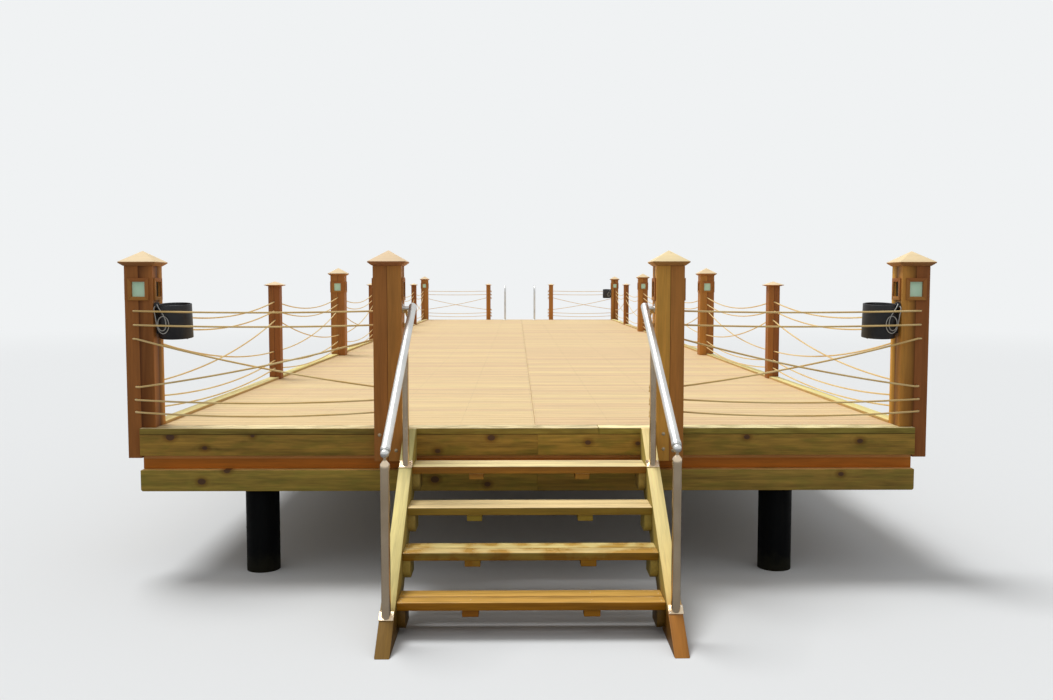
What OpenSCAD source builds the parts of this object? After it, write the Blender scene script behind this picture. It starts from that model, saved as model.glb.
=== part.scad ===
// Wooden bathing jetty on steel piles: six bays of deck with rope railings,
// lantern posts, a front stair with steel handrails and a swimming ladder.
// Millimetres, +Z up. The origin is under the middle of the whole jetty, at water level.
// The stair faces -Y and the deck runs on towards +Y.

/* [Deck] */
// Width of the deck over its side boards
deck_w = 5040; // [4200:20:5600]
// Spacing of the post lines along the deck
bay = 3288; // [2800:4:3600]
// Number of bays, an even number
bays = 6; // [2:2:8]
// Distance of the end post lines from the ends of the deck
end_inset = 135; // [120:5:160]
// Thickness of the deck boards
board_t = 40; // [28:1:50]
// Height of the joists and the rim boards
joist_h = 138; // [120:1:180]
// Thickness of the joists and the rim boards
joist_t = 45; // [38:1:60]
// Joists across the deck
joists_n = 9; // [7:2:11]
// How far the joint between the two halves of the deck lies right of the middle line
seam_x = 45; // [0:5:60]
// Width of the kerb boards along the sides
kerb_w = 95; // [70:1:120]
// Height of the kerb boards above the deck
kerb_h = 20; // [15:1:30]

/* [Substructure] */
// Diameter of the steel piles
pile_d = 219; // [168:1:273]
// Distance of the piles from the middle of their row
pile_x = 1720; // [1400:10:2000]
// How far the rows of piles stand left of the deck's middle line
pile_shift = 60; // [0:5:80]
// Distance of the end pile rows from the ends of the deck
pile_inset = 190; // [190:5:230]
// Height of the head beams that lie on the piles
head_h = 95; // [80:1:120]
// Width of the head beams
head_w = 200; // [160:5:220]
// How far the end head beams stand back behind the rim boards
head_back = 60; // [40:5:80]
// Height of the walers bolted to the piles
waler_h = 138; // [120:1:160]
// Thickness of the walers
waler_t = 80; // [60:5:80]

/* [Posts] */
// Side of the big square posts
big_s = 180; // [150:5:200]
// Height of the big posts above the deck
big_h = 1050; // [950:10:1150]
// Side of the small square posts
small_s = 110; // [90:5:120]
// Height of the small posts above the deck
small_h = 915; // [850:5:950]
// How far the lapped halves of posts hang down below the deck's top
lap_h = 200; // [160:5:215]
// Side of the big post caps
cap_s = 240; // [220:5:280]
// Height of the big post caps
cap_h = 100; // [80:2:130]
// Distance of the stair posts from the middle line
gate_x = 900; // [860:5:1000]
// Distance of the small end posts from the middle line
end_gate_x = 835; // [800:5:900]

/* [Lanterns] */
// Width of a lantern window
win_w = 86; // [76:1:96]
// Height of a lantern window
win_h = 96; // [86:1:110]
// Width of the frame strips around a window
strip_w = 24; // [14:1:26]
// How far the frame stands proud of the post
strip_t = 10; // [6:1:12]
// Height of the window centres above the deck
win_z = 900; // [850:5:920]

/* [Stair] */
// Risers from the ground to the deck
risers = 5; // [4:1:6]
// Height of one riser
riser = 195; // [170:5:200]
// Going of one tread
going = 280; // [260:5:300]
// Clear width between the stringers
stair_w = 1454; // [1200:2:1500]
// Thickness of the stringers
stringer_t = 80; // [60:5:90]
// Depth of the stringers, square to their slope
stringer_h = 240; // [200:5:280]
// Width of one tread board, two to a tread
tread_b = 105; // [90:1:120]
// Gap between the two boards of a tread
tread_gap = 8; // [5:1:12]
// Thickness of the tread boards
tread_t = 46; // [38:1:50]

/* [Handrails] */
// Diameter of the sloping handrail and its lower post
rail_d = 50; // [42:1:54]
// Diameter of the upper rail posts
stay_d = 42; // [33:1:48]
// Diameter of the ball where the rail meets the lower post
ball_d = 47; // [44:1:60]
// Height of the handrail's upper end above the deck
rail_top = 788; // [750:2:840]
// Height of the ball above the stringer's top
ball_h = 870; // [820:5:920]

/* [Ropes] */
// Diameter of the ropes
rope_d = 12; // [10:1:16]
// Sag of the top ropes in a side bay, the lower ones sag less
sag = 98; // [80:2:110]
// Sag of the bottom rope in the front and back bays
short_sag = 28; // [16:2:40]

/* [Speakers] */
// Diameter of the speaker drums
drum_d = 212; // [180:2:240]
// Height of the speaker drums
drum_h = 222; // [190:2:240]
// Height of the drums' lower rims above the deck
drum_z = 582; // [540:1:600]
// Angle at which the drums lean towards the stair
drum_lean = 5; // [2:1:8]

/* [Hidden] */
$fn = 48;

// Levels from the ground up
deck_z = risers * riser;
joist_top = deck_z - board_t;
joist_z = joist_top - joist_h;
head_z = joist_z - head_h;
waler_z = head_z - waler_h;

// Lengths along the jetty, from the front face of the deck
deck_l = bays * bay + 2 * end_inset;
pile_pitch = (deck_l - 2 * pile_inset) / bays;
nose_0 = 20;
stringer_lead = 25;
slope = atan2(riser, going);
stringer_flat = nose_0 + stringer_lead;
foot_y = -stringer_flat - deck_z / tan(slope);
ladder_d = 42;
ladder_out = 70;
ladder_reach = ladder_out + ladder_d / 2;
front_y = -(deck_l + ladder_reach + foot_y) / 2;

// Square posts on the two sides
side_x = deck_w / 2;
big_x = side_x - big_s / 2;
small_x = side_x - small_s / 2;
lap_z = deck_z - lap_h;

// Colours
red_wood = [0.52, 0.27, 0.15];
pine = [0.62, 0.52, 0.3];
olive_pine = [0.45, 0.38, 0.19];
deck_wood = [0.86, 0.7, 0.52];
pale_wood = [0.9, 0.78, 0.56];
cap_wood = [0.84, 0.58, 0.34];
pile_black = [0.07, 0.08, 0.09];
steel = [0.75, 0.76, 0.77];
rope_gold = [0.76, 0.62, 0.36];
black_plastic = [0.06, 0.06, 0.07];
pane_green = [0.72, 0.8, 0.68, 0.6];
cord_grey = [0.6, 0.6, 0.58];

function post_y(i) = end_inset + i * bay;
function is_big(i) = i % 2 == 0;
function post_s(i) = is_big(i) ? big_s : small_s;
function pile_y(i) = pile_inset + i * pile_pitch;

// Moves a shape from the deck's own front edge into the jetty's frame
module placed() {
  translate([0, front_y, 0]) children();
}

// A box from its low corner to its high corner
module block(low, high) {
  translate(low) cube(high - low);
}

module piles(side) {
  color(pile_black) placed()
    for (i = [0 : bays])
      translate([side * pile_x - pile_shift, pile_y(i), 0]) cylinder(h = head_z, d = pile_d);
}

module piles_left() { piles(-1); }
module piles_right() { piles(1); }

waler_r = 15;

// Front view of a waler, with its lower corners rounded off
module waler_outline() {
  low_w = 2 * (side_x - waler_r);
  translate([-side_x, waler_r]) square([2 * side_x, waler_h - waler_r]);
  translate([-low_w / 2, 0]) square([low_w, waler_r]);
  for (side = [-1, 1])
    intersection() {
      translate([side * low_w / 2, waler_r]) circle(r = waler_r);
      translate([side * (low_w + waler_r) / 2 - waler_r / 2, 0]) square(waler_r);
    }
}

// One waler a row, on the piles' front faces, and behind the piles in the last row
module walers() {
  color(olive_pine) placed()
    for (i = [0 : bays]) {
      face = i < bays ? pile_y(i) - pile_d / 2 - waler_t : pile_y(i) + pile_d / 2;
      translate([0, face + waler_t, waler_z])
        rotate([90, 0, 0]) linear_extrude(waler_t) waler_outline();
    }
}

// Head beams stand back behind the rim at both ends
module head_beams() {
  end_shift = head_back + head_w / 2 - pile_inset;
  color(red_wood) placed()
    for (i = [0 : bays]) {
      shift = i == 0 ? end_shift : i == bays ? -end_shift : 0;
      mid = pile_y(i) + shift;
      block([-side_x, mid - head_w / 2, head_z], [side_x, mid + head_w / 2, joist_z]);
    }
}

module joists() {
  pitch = (deck_w - joist_t) / (joists_n + 1);
  first = seam_x - (joists_n - 1) / 2 * pitch;
  color(pine) placed()
    for (i = [0 : joists_n - 1])
      translate([first + i * pitch - joist_t / 2, joist_t, joist_z])
        cube([joist_t, deck_l - 2 * joist_t, joist_h]);
}

module rim_end(y) {
  color(olive_pine) placed()
    block([-side_x, y, joist_z], [side_x, y + joist_t, joist_top]);
}

module rim_front() { rim_end(0); }
module rim_back() { rim_end(deck_l - joist_t); }

module rim_side(side) {
  color(olive_pine) placed()
    translate([side * (side_x - joist_t / 2) - joist_t / 2, joist_t, joist_z])
      cube([joist_t, deck_l - 2 * joist_t, joist_h]);
}

module rim_left() { rim_side(-1); }
module rim_right() { rim_side(1); }

module deck_left() {
  color(deck_wood) placed()
    block([-side_x, 0, joist_top], [seam_x, deck_l, deck_z]);
}

module deck_right() {
  color(deck_wood) placed()
    block([seam_x, 0, joist_top], [side_x, deck_l, deck_z]);
}

// Kerb boards from post to post along one side
module kerb(side) {
  low_x = side < 0 ? -side_x : side_x - kerb_w;
  color(pale_wood) placed()
    for (i = [0 : bays - 1])
      block([low_x, post_y(i) + post_s(i) / 2, deck_z],
            [low_x + kerb_w, post_y(i + 1) - post_s(i + 1) / 2, deck_z + kerb_h]);
}

module kerb_left() { kerb(-1); }
module kerb_right() { kerb(1); }

// Window tunnels through a post's head, along X and, if both is true, along Y
module window_tunnels(both) {
  translate([0, 0, deck_z + win_z]) {
    cube([2 * big_s, win_w, win_h], center = true);
    if (both) cube([win_w, 2 * big_s, win_h], center = true);
  }
}

// A post on the edge of the deck whose outer half, towards -X, laps down over it
module lapped_post(size, height) {
  half = size / 2;
  difference() {
    translate([-half, -half, lap_z]) cube([size, size, lap_h + height]);
    translate([0, -size, lap_z - lap_h]) cube([size, 2 * size, 2 * lap_h]);
  }
}

module corner_post(side, y) {
  color(red_wood) placed()
    translate([side * side_x, y, 0]) rotate([0, 0, side < 0 ? 0 : 180])
      difference() {
        lapped_post(big_s, big_h);
        window_tunnels(true);
      }
}

module corner_post_front_left() { corner_post(-1, post_y(0)); }
module corner_post_front_right() { corner_post(1, post_y(0)); }
module corner_post_back_left() { corner_post(-1, post_y(bays)); }
module corner_post_back_right() { corner_post(1, post_y(bays)); }

// The stair posts lap over the front of the deck and have windows to the sides only
module stair_post(side) {
  color(red_wood) placed()
    translate([side * gate_x, 0, 0])
      difference() {
        rotate([0, 0, 90]) lapped_post(big_s, big_h);
        window_tunnels(false);
      }
}

module stair_post_left() { stair_post(-1); }
module stair_post_right() { stair_post(1); }

// Big posts that stand on the deck between the corners
module side_posts(side) {
  color(red_wood) placed()
    for (i = [2 : 2 : bays - 2])
      translate([side * big_x, post_y(i), 0])
        difference() {
          translate([-big_s / 2, -big_s / 2, deck_z]) cube([big_s, big_s, big_h]);
          window_tunnels(true);
        }
}

module side_posts_left() { side_posts(-1); }
module side_posts_right() { side_posts(1); }

module small_posts(side) {
  color(red_wood) placed()
    for (i = [1 : 2 : bays - 1])
      translate([side * small_x - small_s / 2, post_y(i) - small_s / 2, deck_z])
        cube([small_s, small_s, small_h]);
}

module small_posts_left() { small_posts(-1); }
module small_posts_right() { small_posts(1); }

// Two small posts that lap over the far edge of the deck, either side of the ladder
module end_posts() {
  color(red_wood) placed()
    for (side = [-1, 1])
      translate([side * end_gate_x, deck_l, 0])
        rotate([0, 0, -90]) lapped_post(small_s, small_h);
}

// A cap is the crossing of two like profiles: bevelled underside, thin edge, pyramid
module cap(side, height, post_side) {
  half = side / 2;
  foot = post_side / 2 + 4;
  edge_low = height * 0.2;
  edge_high = height * 0.27;
  outline = [[-foot, 0], [foot, 0], [half, edge_low], [half, edge_high],
             [0, height], [-half, edge_high], [-half, edge_low]];
  intersection() {
    rotate([90, 0, 0]) linear_extrude(side, center = true) polygon(outline);
    rotate([90, 0, 90]) linear_extrude(side, center = true) polygon(outline);
  }
}

module big_cap_at(x, y) {
  translate([x, y, deck_z + big_h]) cap(cap_s, cap_h, big_s);
}

small_cap_s = small_s + 66;
small_cap_h = 46;

module small_cap_at(x, y) {
  translate([x, y, deck_z + small_h]) cap(small_cap_s, small_cap_h, small_s);
}

module big_post_caps() {
  color(cap_wood) placed()
    for (side = [-1, 1]) {
      for (i = [0, bays]) big_cap_at(side * side_x, post_y(i));
      for (i = [2 : 2 : bays - 2]) big_cap_at(side * big_x, post_y(i));
      big_cap_at(side * gate_x, 0);
    }
}

module small_post_caps() {
  color(cap_wood) placed()
    for (side = [-1, 1]) {
      for (i = [1 : 2 : bays - 1]) small_cap_at(side * small_x, post_y(i));
      small_cap_at(side * end_gate_x, deck_l);
    }
}

// Puts a shape made for the face towards +X on two or all four faces of a post head
module on_faces(both) {
  turns = both ? [0, 90, 180, 270] : [0, 180];
  translate([0, 0, deck_z + win_z])
    for (turn = turns) rotate([0, 0, turn]) children();
}

module window_frame() {
  translate([big_s / 2, 0, 0])
    difference() {
      translate([0, -win_w / 2 - strip_w, -win_h / 2 - strip_w])
        cube([strip_t, win_w + 2 * strip_w, win_h + 2 * strip_w]);
      cube([3 * strip_t, win_w, win_h], center = true);
    }
}

pane_t = 4;
pane_back = 14;

module window_pane() {
  translate([big_s / 2 - pane_back, -win_w / 2, -win_h / 2]) cube([pane_t, win_w, win_h]);
}

// Each lantern head of the jetty, with the faces that have a window
module lantern_heads() {
  placed()
    for (side = [-1, 1]) {
      for (i = [0, bays]) translate([side * side_x, post_y(i), 0]) on_faces(true) children();
      for (i = [2 : 2 : bays - 2])
        translate([side * big_x, post_y(i), 0]) on_faces(true) children();
      translate([side * gate_x, 0, 0]) on_faces(false) children();
    }
}

module lantern_frames() {
  color(cap_wood) lantern_heads() window_frame();
}

module lantern_glass() {
  color(pane_green) lantern_heads() window_pane();
}

// Outline of a stringer in the plane of its side: level top, nosing slope, foot, plumb head
module stringer_outline() {
  run = stringer_h / sin(slope);
  drop = stringer_h / cos(slope);
  head_low = deck_z + stringer_flat * tan(slope) - drop;
  polygon([[0, deck_z], [-stringer_flat, deck_z], [foot_y, 0], [foot_y + run, 0], [0, head_low]]);
}

module stringer(side) {
  low_x = side < 0 ? -stair_w / 2 - stringer_t : stair_w / 2;
  color(pine) placed()
    translate([low_x, 0, 0]) rotate([90, 0, 90]) linear_extrude(stringer_t) stringer_outline();
}

module stringer_left() { stringer(-1); }
module stringer_right() { stringer(1); }

batten_w = 90;
batten_t = 38;
batten_x = 330;
tread_run = 2 * tread_b + tread_gap;

function nose_y(i) = -nose_0 - i * going;
function nose_z(i) = deck_z - i * riser;

// Tread i below the deck: two boards on two battens
module tread(i) {
  top = nose_z(i);
  color(pine) placed() {
    for (k = [0, 1])
      translate([-stair_w / 2, nose_y(i) + k * (tread_b + tread_gap), top - tread_t])
        cube([stair_w, tread_b, tread_t]);
    for (side = [-1, 1])
      translate([side * batten_x - batten_w / 2, nose_y(i) + 12, top - tread_t - batten_t])
        cube([batten_w, tread_run - 24, batten_t]);
  }
}

module tread_1() { tread(1); }
module tread_2() { tread(2); }
module tread_3() { tread(3); }
module tread_4() { tread(4); }

cleat_w = 45;
cleat_h = 110;
cleat_r = 45;

// Cleats under the treads' ends, with a rounded lower front corner
module cleat_outline() {
  front = 14;
  union() {
    translate([front, -cleat_h + cleat_r]) square([tread_run - 2 * front, cleat_h - cleat_r]);
    translate([front + cleat_r, -cleat_h]) square([tread_run - 2 * front - cleat_r, cleat_h]);
    intersection() {
      translate([front + cleat_r, -cleat_h + cleat_r]) circle(r = cleat_r);
      translate([front, -cleat_h]) square([cleat_r, cleat_r]);
    }
  }
}

module tread_cleats() {
  color(pine) placed()
    for (i = [1 : risers - 1])
      for (low_x = [-stair_w / 2, stair_w / 2 - cleat_w])
        translate([low_x, nose_y(i), nose_z(i) - tread_t])
          rotate([90, 0, 90]) linear_extrude(cleat_w) cleat_outline();
}

rail_low_x = 770;
rail_high_x = 747;
stay_x = 764;
stay_y = -305;
plate_w = 80;
plate_l = 60;
plate_t = 6;

// The left lower post stands a little further down its stringer than the right one
function low_post_y(side) = side < 0 ? -1229 : -1199;
function stringer_top(y) = deck_z + (y + stringer_flat) * tan(slope);

// Ends of a handrail's axis, the run between them and the point of it at a given y
function rail_low(side) =
  [side * rail_low_x, low_post_y(side), stringer_top(low_post_y(side)) + ball_h];
function rail_high(side) = [side * rail_high_x, 0, deck_z + rail_top];
function rail_run(side) = rail_high(side) - rail_low(side);
function rail_rise(side) = asin(rail_run(side).z / norm(rail_run(side)));
function rail_at(side, y) =
  rail_low(side) + rail_run(side) * (y - low_post_y(side)) / rail_run(side).y;

// A foot plate that lies on the stringer's slope
module foot_plate(y) {
  translate([0, y, stringer_top(y)]) rotate([slope, 0, 0])
    translate([-plate_w / 2, -plate_l / 2, 0]) cube([plate_w, plate_l, plate_t]);
}

// An upright tube whose lower end is cut to the slope of its plate
module upright(y, top, d) {
  foot = stringer_top(y) + plate_t / cos(slope);
  difference() {
    translate([0, y, foot - d]) cylinder(h = top - foot + d, d = d);
    translate([0, y, foot]) rotate([slope, 0, 0])
      translate([-d, -2 * d, -4 * d]) cube([2 * d, 4 * d, 4 * d]);
  }
}

ferrule_h = 42;
neck_d = 18;

// Turned end of the lower post: flared ferrule and neck up to the ball
module ferrule(top) {
  rotate_extrude()
    polygon([[0, -ferrule_h], [rail_d / 2 + 2, -ferrule_h], [rail_d / 2 + 2, -26],
             [rail_d / 2 - 4, -12], [neck_d / 2, 0], [neck_d / 2, top], [0, top]]);
}

// Two posts of one handrail
module rail_posts(side) {
  ball = rail_low(side);
  ferrule_z = ball.z - ball_d / 2 - 12;
  stay_top = rail_at(side, stay_y).z - rail_d / 2 / cos(rail_rise(side)) - 6;
  color(steel) placed() {
    translate([ball.x, 0, 0]) {
      foot_plate(ball.y);
      upright(ball.y, ferrule_z - ferrule_h, rail_d);
      translate([0, ball.y, ferrule_z]) ferrule(8);
    }
    translate([side * stay_x, 0, 0]) {
      foot_plate(stay_y);
      upright(stay_y, stay_top, stay_d);
    }
  }
}

module rail_posts_left() { rail_posts(-1); }
module rail_posts_right() { rail_posts(1); }

collar_l = 26;
bracket_d = 26;
bracket_flange_d = 60;
bracket_y = -16;
flange_t = 5;

// Half section of the rail beside its axis: collar behind the ball, tube and domed end
module rail_section(rail_len) {
  radius = rail_d / 2;
  start = ball_d / 2 - 6;
  translate([0, start]) square([radius, rail_len - start]);
  translate([0, ball_d / 2]) square([radius + 2, collar_l]);
  intersection() {
    translate([0, rail_len]) circle(r = radius);
    translate([0, rail_len]) square(radius);
  }
}

// The sloping rail from its ball to its domed end, with the bracket to the stair post
module handrail(side) {
  run = rail_run(side);
  seat = rail_at(side, bracket_y);
  bracket_len = gate_x - big_s / 2 - abs(seat.x);
  color(steel) placed() {
    translate(rail_low(side)) {
      sphere(d = ball_d);
      rotate([0, 90 - rail_rise(side), atan2(run.y, run.x)])
        rotate_extrude() rail_section(norm(run));
    }
    translate(seat) rotate([0, side * 90, 0]) {
      cylinder(h = bracket_len, d = bracket_d);
      translate([0, 0, bracket_len - flange_t]) cylinder(h = flange_t, d = bracket_flange_d);
    }
  }
}

module handrail_left() { handrail(-1); }
module handrail_right() { handrail(1); }

// Heights of the rope holes above the deck, from the top down
hole_z = [760, 670, 580, 270, 185, 105];
// Share of the full sag that each rope has in the side bays and in the end bays
sag_share = [1, 1, 0.87, 0.87, 0.8, 0.7];
short_share = [0.36, 0.43, 0.93, 0.93, 0.79, 1];
ropes_n = 6;
rope_air = 0.5;
cross_shift = 9;

// The third and fourth ropes swap heights at each post, the others keep theirs
function hole_of(rope, i) =
  rope == 2 ? (i % 2 == 0 ? hole_z[2] : hole_z[3]) :
  rope == 3 ? (i % 2 == 0 ? hole_z[3] : hole_z[2]) :
  hole_z[rope];
function rope_shift(rope) = rope == 2 ? cross_shift : rope == 3 ? -cross_shift : 0;

corner_hole_x = side_x + 30;
lead_r = 30;
lead_y = end_inset - big_s / 2 - lead_r - cross_shift;

// Distance of the ropes from the middle line at post line i
function rope_x(i) =
  i == 0 || i == bays ? corner_hole_x :
  is_big(i) ? big_x : small_x;

// An arc that sags below the straight line between two points: its radius and half angle
function arc_radius(chord, depth) = chord * chord / (8 * depth) + depth / 2;
function arc_half(chord, depth) = asin(chord / 2 / arc_radius(chord, depth));
function plan_run(a, b) = norm([b.x - a.x, b.y - a.y]);
function rise_angle(a, b) = atan2(b.z - a.z, plan_run(a, b));

module rope_span(a, b, depth) {
  chord = norm(b - a);
  radius = arc_radius(chord, depth);
  half = arc_half(chord, depth);
  translate((a + b) / 2)
    rotate([90, 0, atan2(b.y - a.y, b.x - a.x)])
      rotate([0, 0, rise_angle(a, b)])
        translate([0, radius - depth, 0])
          rotate([0, 0, -90 - half])
            rotate_extrude(angle = 2 * half, $fn = 720)
              translate([radius, 0]) circle(d = rope_d);
}

// Rope number rope in the side bay after post line i, on the right
module side_rope(rope, i) {
  shift = rope_shift(rope);
  a = [rope_x(i) + shift, post_y(i) + post_s(i) / 2 + rope_air, deck_z + hole_of(rope, i)];
  b = [rope_x(i + 1) + shift, post_y(i + 1) - post_s(i + 1) / 2 - rope_air,
       deck_z + hole_of(rope, i + 1)];
  rope_span(a, b, sag * sag_share[rope]);
}

// Rope from a gate post's side face to the corner post, where it turns into its hole
module end_rope(rope, face_x) {
  shift = rope_shift(rope);
  depth = short_sag * short_share[rope];
  a = [face_x + rope_air, lead_y + shift, deck_z + hole_of(rope, 1)];
  b = [corner_hole_x + shift - lead_r, lead_y + shift, deck_z + hole_of(rope, 0)];
  rope_span(a, b, depth);
  translate(b)
    rotate([0, -rise_angle(a, b) - arc_half(norm(b - a), depth), 0])
      translate([rope_air, lead_r, 0]) rotate([0, 0, -90])
        rotate_extrude(angle = 90, $fn = 96) translate([lead_r, 0]) circle(d = rope_d);
}

module ropes(side) {
  color(rope_gold) placed() mirror([side < 0 ? 1 : 0, 0, 0])
    for (rope = [0 : ropes_n - 1]) {
      for (i = [0 : bays - 1]) side_rope(rope, i);
      end_rope(rope, gate_x + big_s / 2);
      translate([0, deck_l, 0]) mirror([0, 1, 0]) end_rope(rope, end_gate_x + small_s / 2);
    }
}

module ropes_left() { ropes(-1); }
module ropes_right() { ropes(1); }

drum_wall = 8;
drum_sink = 22;
back_plate_t = 10;
drum_x = side_x - big_s / 2 - back_plate_t - drum_d / 2;

// The three places of the speaker drums, with +X towards the post
module at_speakers() {
  placed() {
    for (side = [-1, 1])
      translate([side * drum_x, post_y(0), deck_z]) mirror([side < 0 ? 1 : 0, 0, 0]) children();
    translate([drum_x, post_y(bays), deck_z]) children();
  }
}

// Puts a shape that starts at the drum's foot on the drum's leaning axis
module leaning() {
  translate([0, 0, drum_z + drum_h / 2]) rotate([drum_lean, 0, 0])
    translate([0, 0, -drum_h / 2]) children();
}

pin_x = [-70, 30];
pin_d = 10;
pin_l = 10;

// A closed drum with a sunk top inside its rim and two short pins under it
module drum() {
  radius = drum_d / 2;
  chamfer = 6;
  outline = [[0, 0], [radius - chamfer, 0], [radius, chamfer], [radius, drum_h],
             [radius - drum_wall, drum_h], [radius - drum_wall, drum_h - drum_sink],
             [0, drum_h - drum_sink]];
  leaning() {
    rotate_extrude($fn = 96) polygon(outline);
    for (x = pin_x) translate([x, 0, -pin_l]) cylinder(h = pin_l + 3, d = pin_d);
  }
}

module speakers() {
  color(black_plastic) at_speakers() drum();
}

bracket_w = 70;
bracket_rim = 30;
knob_d = 36;
knob_x = 97;
knob_y = -78;
knob_z = 798;

// Block between the drum and the post, with the clamping knob at its top
module speaker_brackets() {
  low_z = drum_z + bracket_rim;
  color(black_plastic) at_speakers()
    difference() {
      union() {
        translate([0, -bracket_w / 2, low_z])
          cube([drum_d / 2 + back_plate_t, bracket_w, drum_z + drum_h - low_z]);
        translate([knob_x, knob_y, knob_z]) rotate([-90, 0, 0]) cylinder(h = -knob_y, d = knob_d);
      }
      leaning() cylinder(h = drum_h + knob_d, d = drum_d, $fn = 96);
    }
}

cord_d = 6;

// Slack cord that hangs from the knob in two turns, from the drum's axis at deck level
cord_route = [
  [104, -78, 788], [104, -92, 786], [103, -104, 777], [100, -111, 758], [95, -112, 732],
  [90, -112, 704], [86, -112, 675], [79, -112, 648], [67, -112, 626], [50, -112, 614],
  [32, -112, 617], [17, -112, 632], [9, -112, 654], [8, -112, 680], [15, -112, 704],
  [30, -112, 721], [50, -112, 724], [67, -113, 712], [76, -115, 690], [75, -117, 664],
  [66, -119, 642], [50, -119, 632], [34, -119, 638], [25, -119, 656], [24, -119, 680],
  [28, -119, 705], [38, -119, 730], [52, -119, 754], [66, -116, 775], [78, -108, 792],
  [87, -95, 801], [91, -78, 803]
];

function unit(v) = v / norm(v);
function heading(route, i) = unit(route[min(i + 1, len(route) - 1)] - route[max(i - 1, 0)]);

// A tube of the given diameter swept along a route, with 8 sides
module swept_tube(route, d) {
  sides = 8;
  last = len(route) - 1;
  rings = [for (i = [0 : last])
    let (t = heading(route, i), u = unit(cross([-1, 1, 0], t)), v = cross(t, u))
    for (k = [0 : sides - 1])
      route[i] + d / 2 * (cos(360 * k / sides) * u + sin(360 * k / sides) * v)];
  walls = [for (i = [0 : last - 1]) for (k = [0 : sides - 1])
    let (a = i * sides + k, b = i * sides + (k + 1) % sides)
    each [[a, a + sides, b], [b, a + sides, b + sides]]];
  first_end = [for (k = [0 : sides - 1]) k];
  last_end = [for (k = [sides - 1 : -1 : 0]) last * sides + k];
  polyhedron(rings, concat([first_end], walls, [last_end]));
}

module speaker_cords() {
  color(cord_grey) at_speakers() swept_tube(cord_route, cord_d);
}

ladder_x = 390;
ladder_in = 260;
ladder_top = 900;
ladder_r = (ladder_in + ladder_out) / 2;
ladder_low = 60;
rungs_n = 4;
rung_d = 34;
rung_pitch = 230;
foot_t = 8;
foot_d = 110;

// Two hooped handles that rise from the deck and go down outside its far edge
module ladder_rails() {
  color(steel) placed()
    for (side = [-1, 1])
      translate([side * ladder_x, deck_l, 0]) {
        translate([0, -ladder_in, deck_z]) cylinder(h = foot_t, d = foot_d);
        translate([0, -ladder_in, deck_z]) cylinder(h = ladder_top - ladder_r, d = ladder_d);
        translate([0, ladder_out - ladder_r, deck_z + ladder_top - ladder_r])
          rotate([90, 0, 90]) rotate_extrude(angle = 180, $fn = 64)
            translate([ladder_r, 0]) circle(d = ladder_d);
        translate([0, ladder_out, ladder_low])
          cylinder(h = deck_z + ladder_top - ladder_r - ladder_low, d = ladder_d);
      }
}

module ladder_rungs() {
  gap = ladder_x - ladder_d / 2;
  color(steel) placed()
    for (i = [0 : rungs_n - 1])
      translate([-gap, deck_l + ladder_out, ladder_low + 60 + i * rung_pitch])
        rotate([0, 90, 0]) cylinder(h = 2 * gap, d = rung_d);
}

piles_left();
piles_right();
walers();
head_beams();
joists();
rim_front();
rim_back();
rim_left();
rim_right();
deck_left();
deck_right();
kerb_left();
kerb_right();
corner_post_front_left();
corner_post_front_right();
corner_post_back_left();
corner_post_back_right();
stair_post_left();
stair_post_right();
side_posts_left();
side_posts_right();
small_posts_left();
small_posts_right();
end_posts();
big_post_caps();
small_post_caps();
lantern_frames();
lantern_glass();
stringer_left();
stringer_right();
tread_1();
tread_2();
tread_3();
tread_4();
tread_cleats();
rail_posts_left();
rail_posts_right();
handrail_left();
handrail_right();
ropes_left();
ropes_right();
speakers();
speaker_brackets();
speaker_cords();
ladder_rails();
ladder_rungs();
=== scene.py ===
import random
from math import asin, atan2, copysign, cos, hypot, pi, radians, sin, tan

import bmesh
import bpy
from mathutils import Matrix, Vector


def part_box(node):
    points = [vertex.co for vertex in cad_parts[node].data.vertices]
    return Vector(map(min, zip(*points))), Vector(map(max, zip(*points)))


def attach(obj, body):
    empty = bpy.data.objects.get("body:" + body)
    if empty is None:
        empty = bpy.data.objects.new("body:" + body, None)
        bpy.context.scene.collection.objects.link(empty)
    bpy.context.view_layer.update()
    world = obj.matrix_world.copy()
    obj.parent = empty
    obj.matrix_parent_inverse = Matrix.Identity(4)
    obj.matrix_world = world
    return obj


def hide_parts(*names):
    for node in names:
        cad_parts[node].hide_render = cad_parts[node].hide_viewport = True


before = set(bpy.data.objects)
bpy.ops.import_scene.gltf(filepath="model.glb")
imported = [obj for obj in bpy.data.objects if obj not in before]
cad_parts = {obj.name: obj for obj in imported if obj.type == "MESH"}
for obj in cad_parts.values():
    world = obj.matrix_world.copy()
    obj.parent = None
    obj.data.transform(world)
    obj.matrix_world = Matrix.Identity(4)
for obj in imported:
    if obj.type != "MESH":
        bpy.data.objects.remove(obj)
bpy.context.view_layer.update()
rng = random.Random(11)

# Places read from the frame
DECK_LOW, DECK_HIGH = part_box("deck_left")
FRONT_Y = DECK_LOW.y
BACK_Y = DECK_HIGH.y
DECK_Z = DECK_HIGH.z
BOARD_T = DECK_HIGH.z - DECK_LOW.z
SEAM_X = DECK_HIGH.x
SIDE_X = -DECK_LOW.x
BIG_S = 0.180
SMALL_S = 0.110
BAYS = 6
END_INSET = 0.135
BAY = (BACK_Y - FRONT_Y - 2 * END_INSET) / BAYS
GATE_X = 0.900
END_GATE_X = 0.835
BIG_X = SIDE_X - BIG_S / 2
SMALL_X = SIDE_X - SMALL_S / 2
SIDES = ((-1, "left"), (1, "right"))


def post_y(i):
    return FRONT_Y + END_INSET + i * BAY


def post_half(i):
    return (BIG_S if i % 2 == 0 else SMALL_S) / 2


# Moving, copying and joining


def at(x, y, z):
    return Matrix.Translation((x, y, z))


def tilt(degrees, axis):
    return Matrix.Rotation(radians(degrees), 4, axis)


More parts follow.
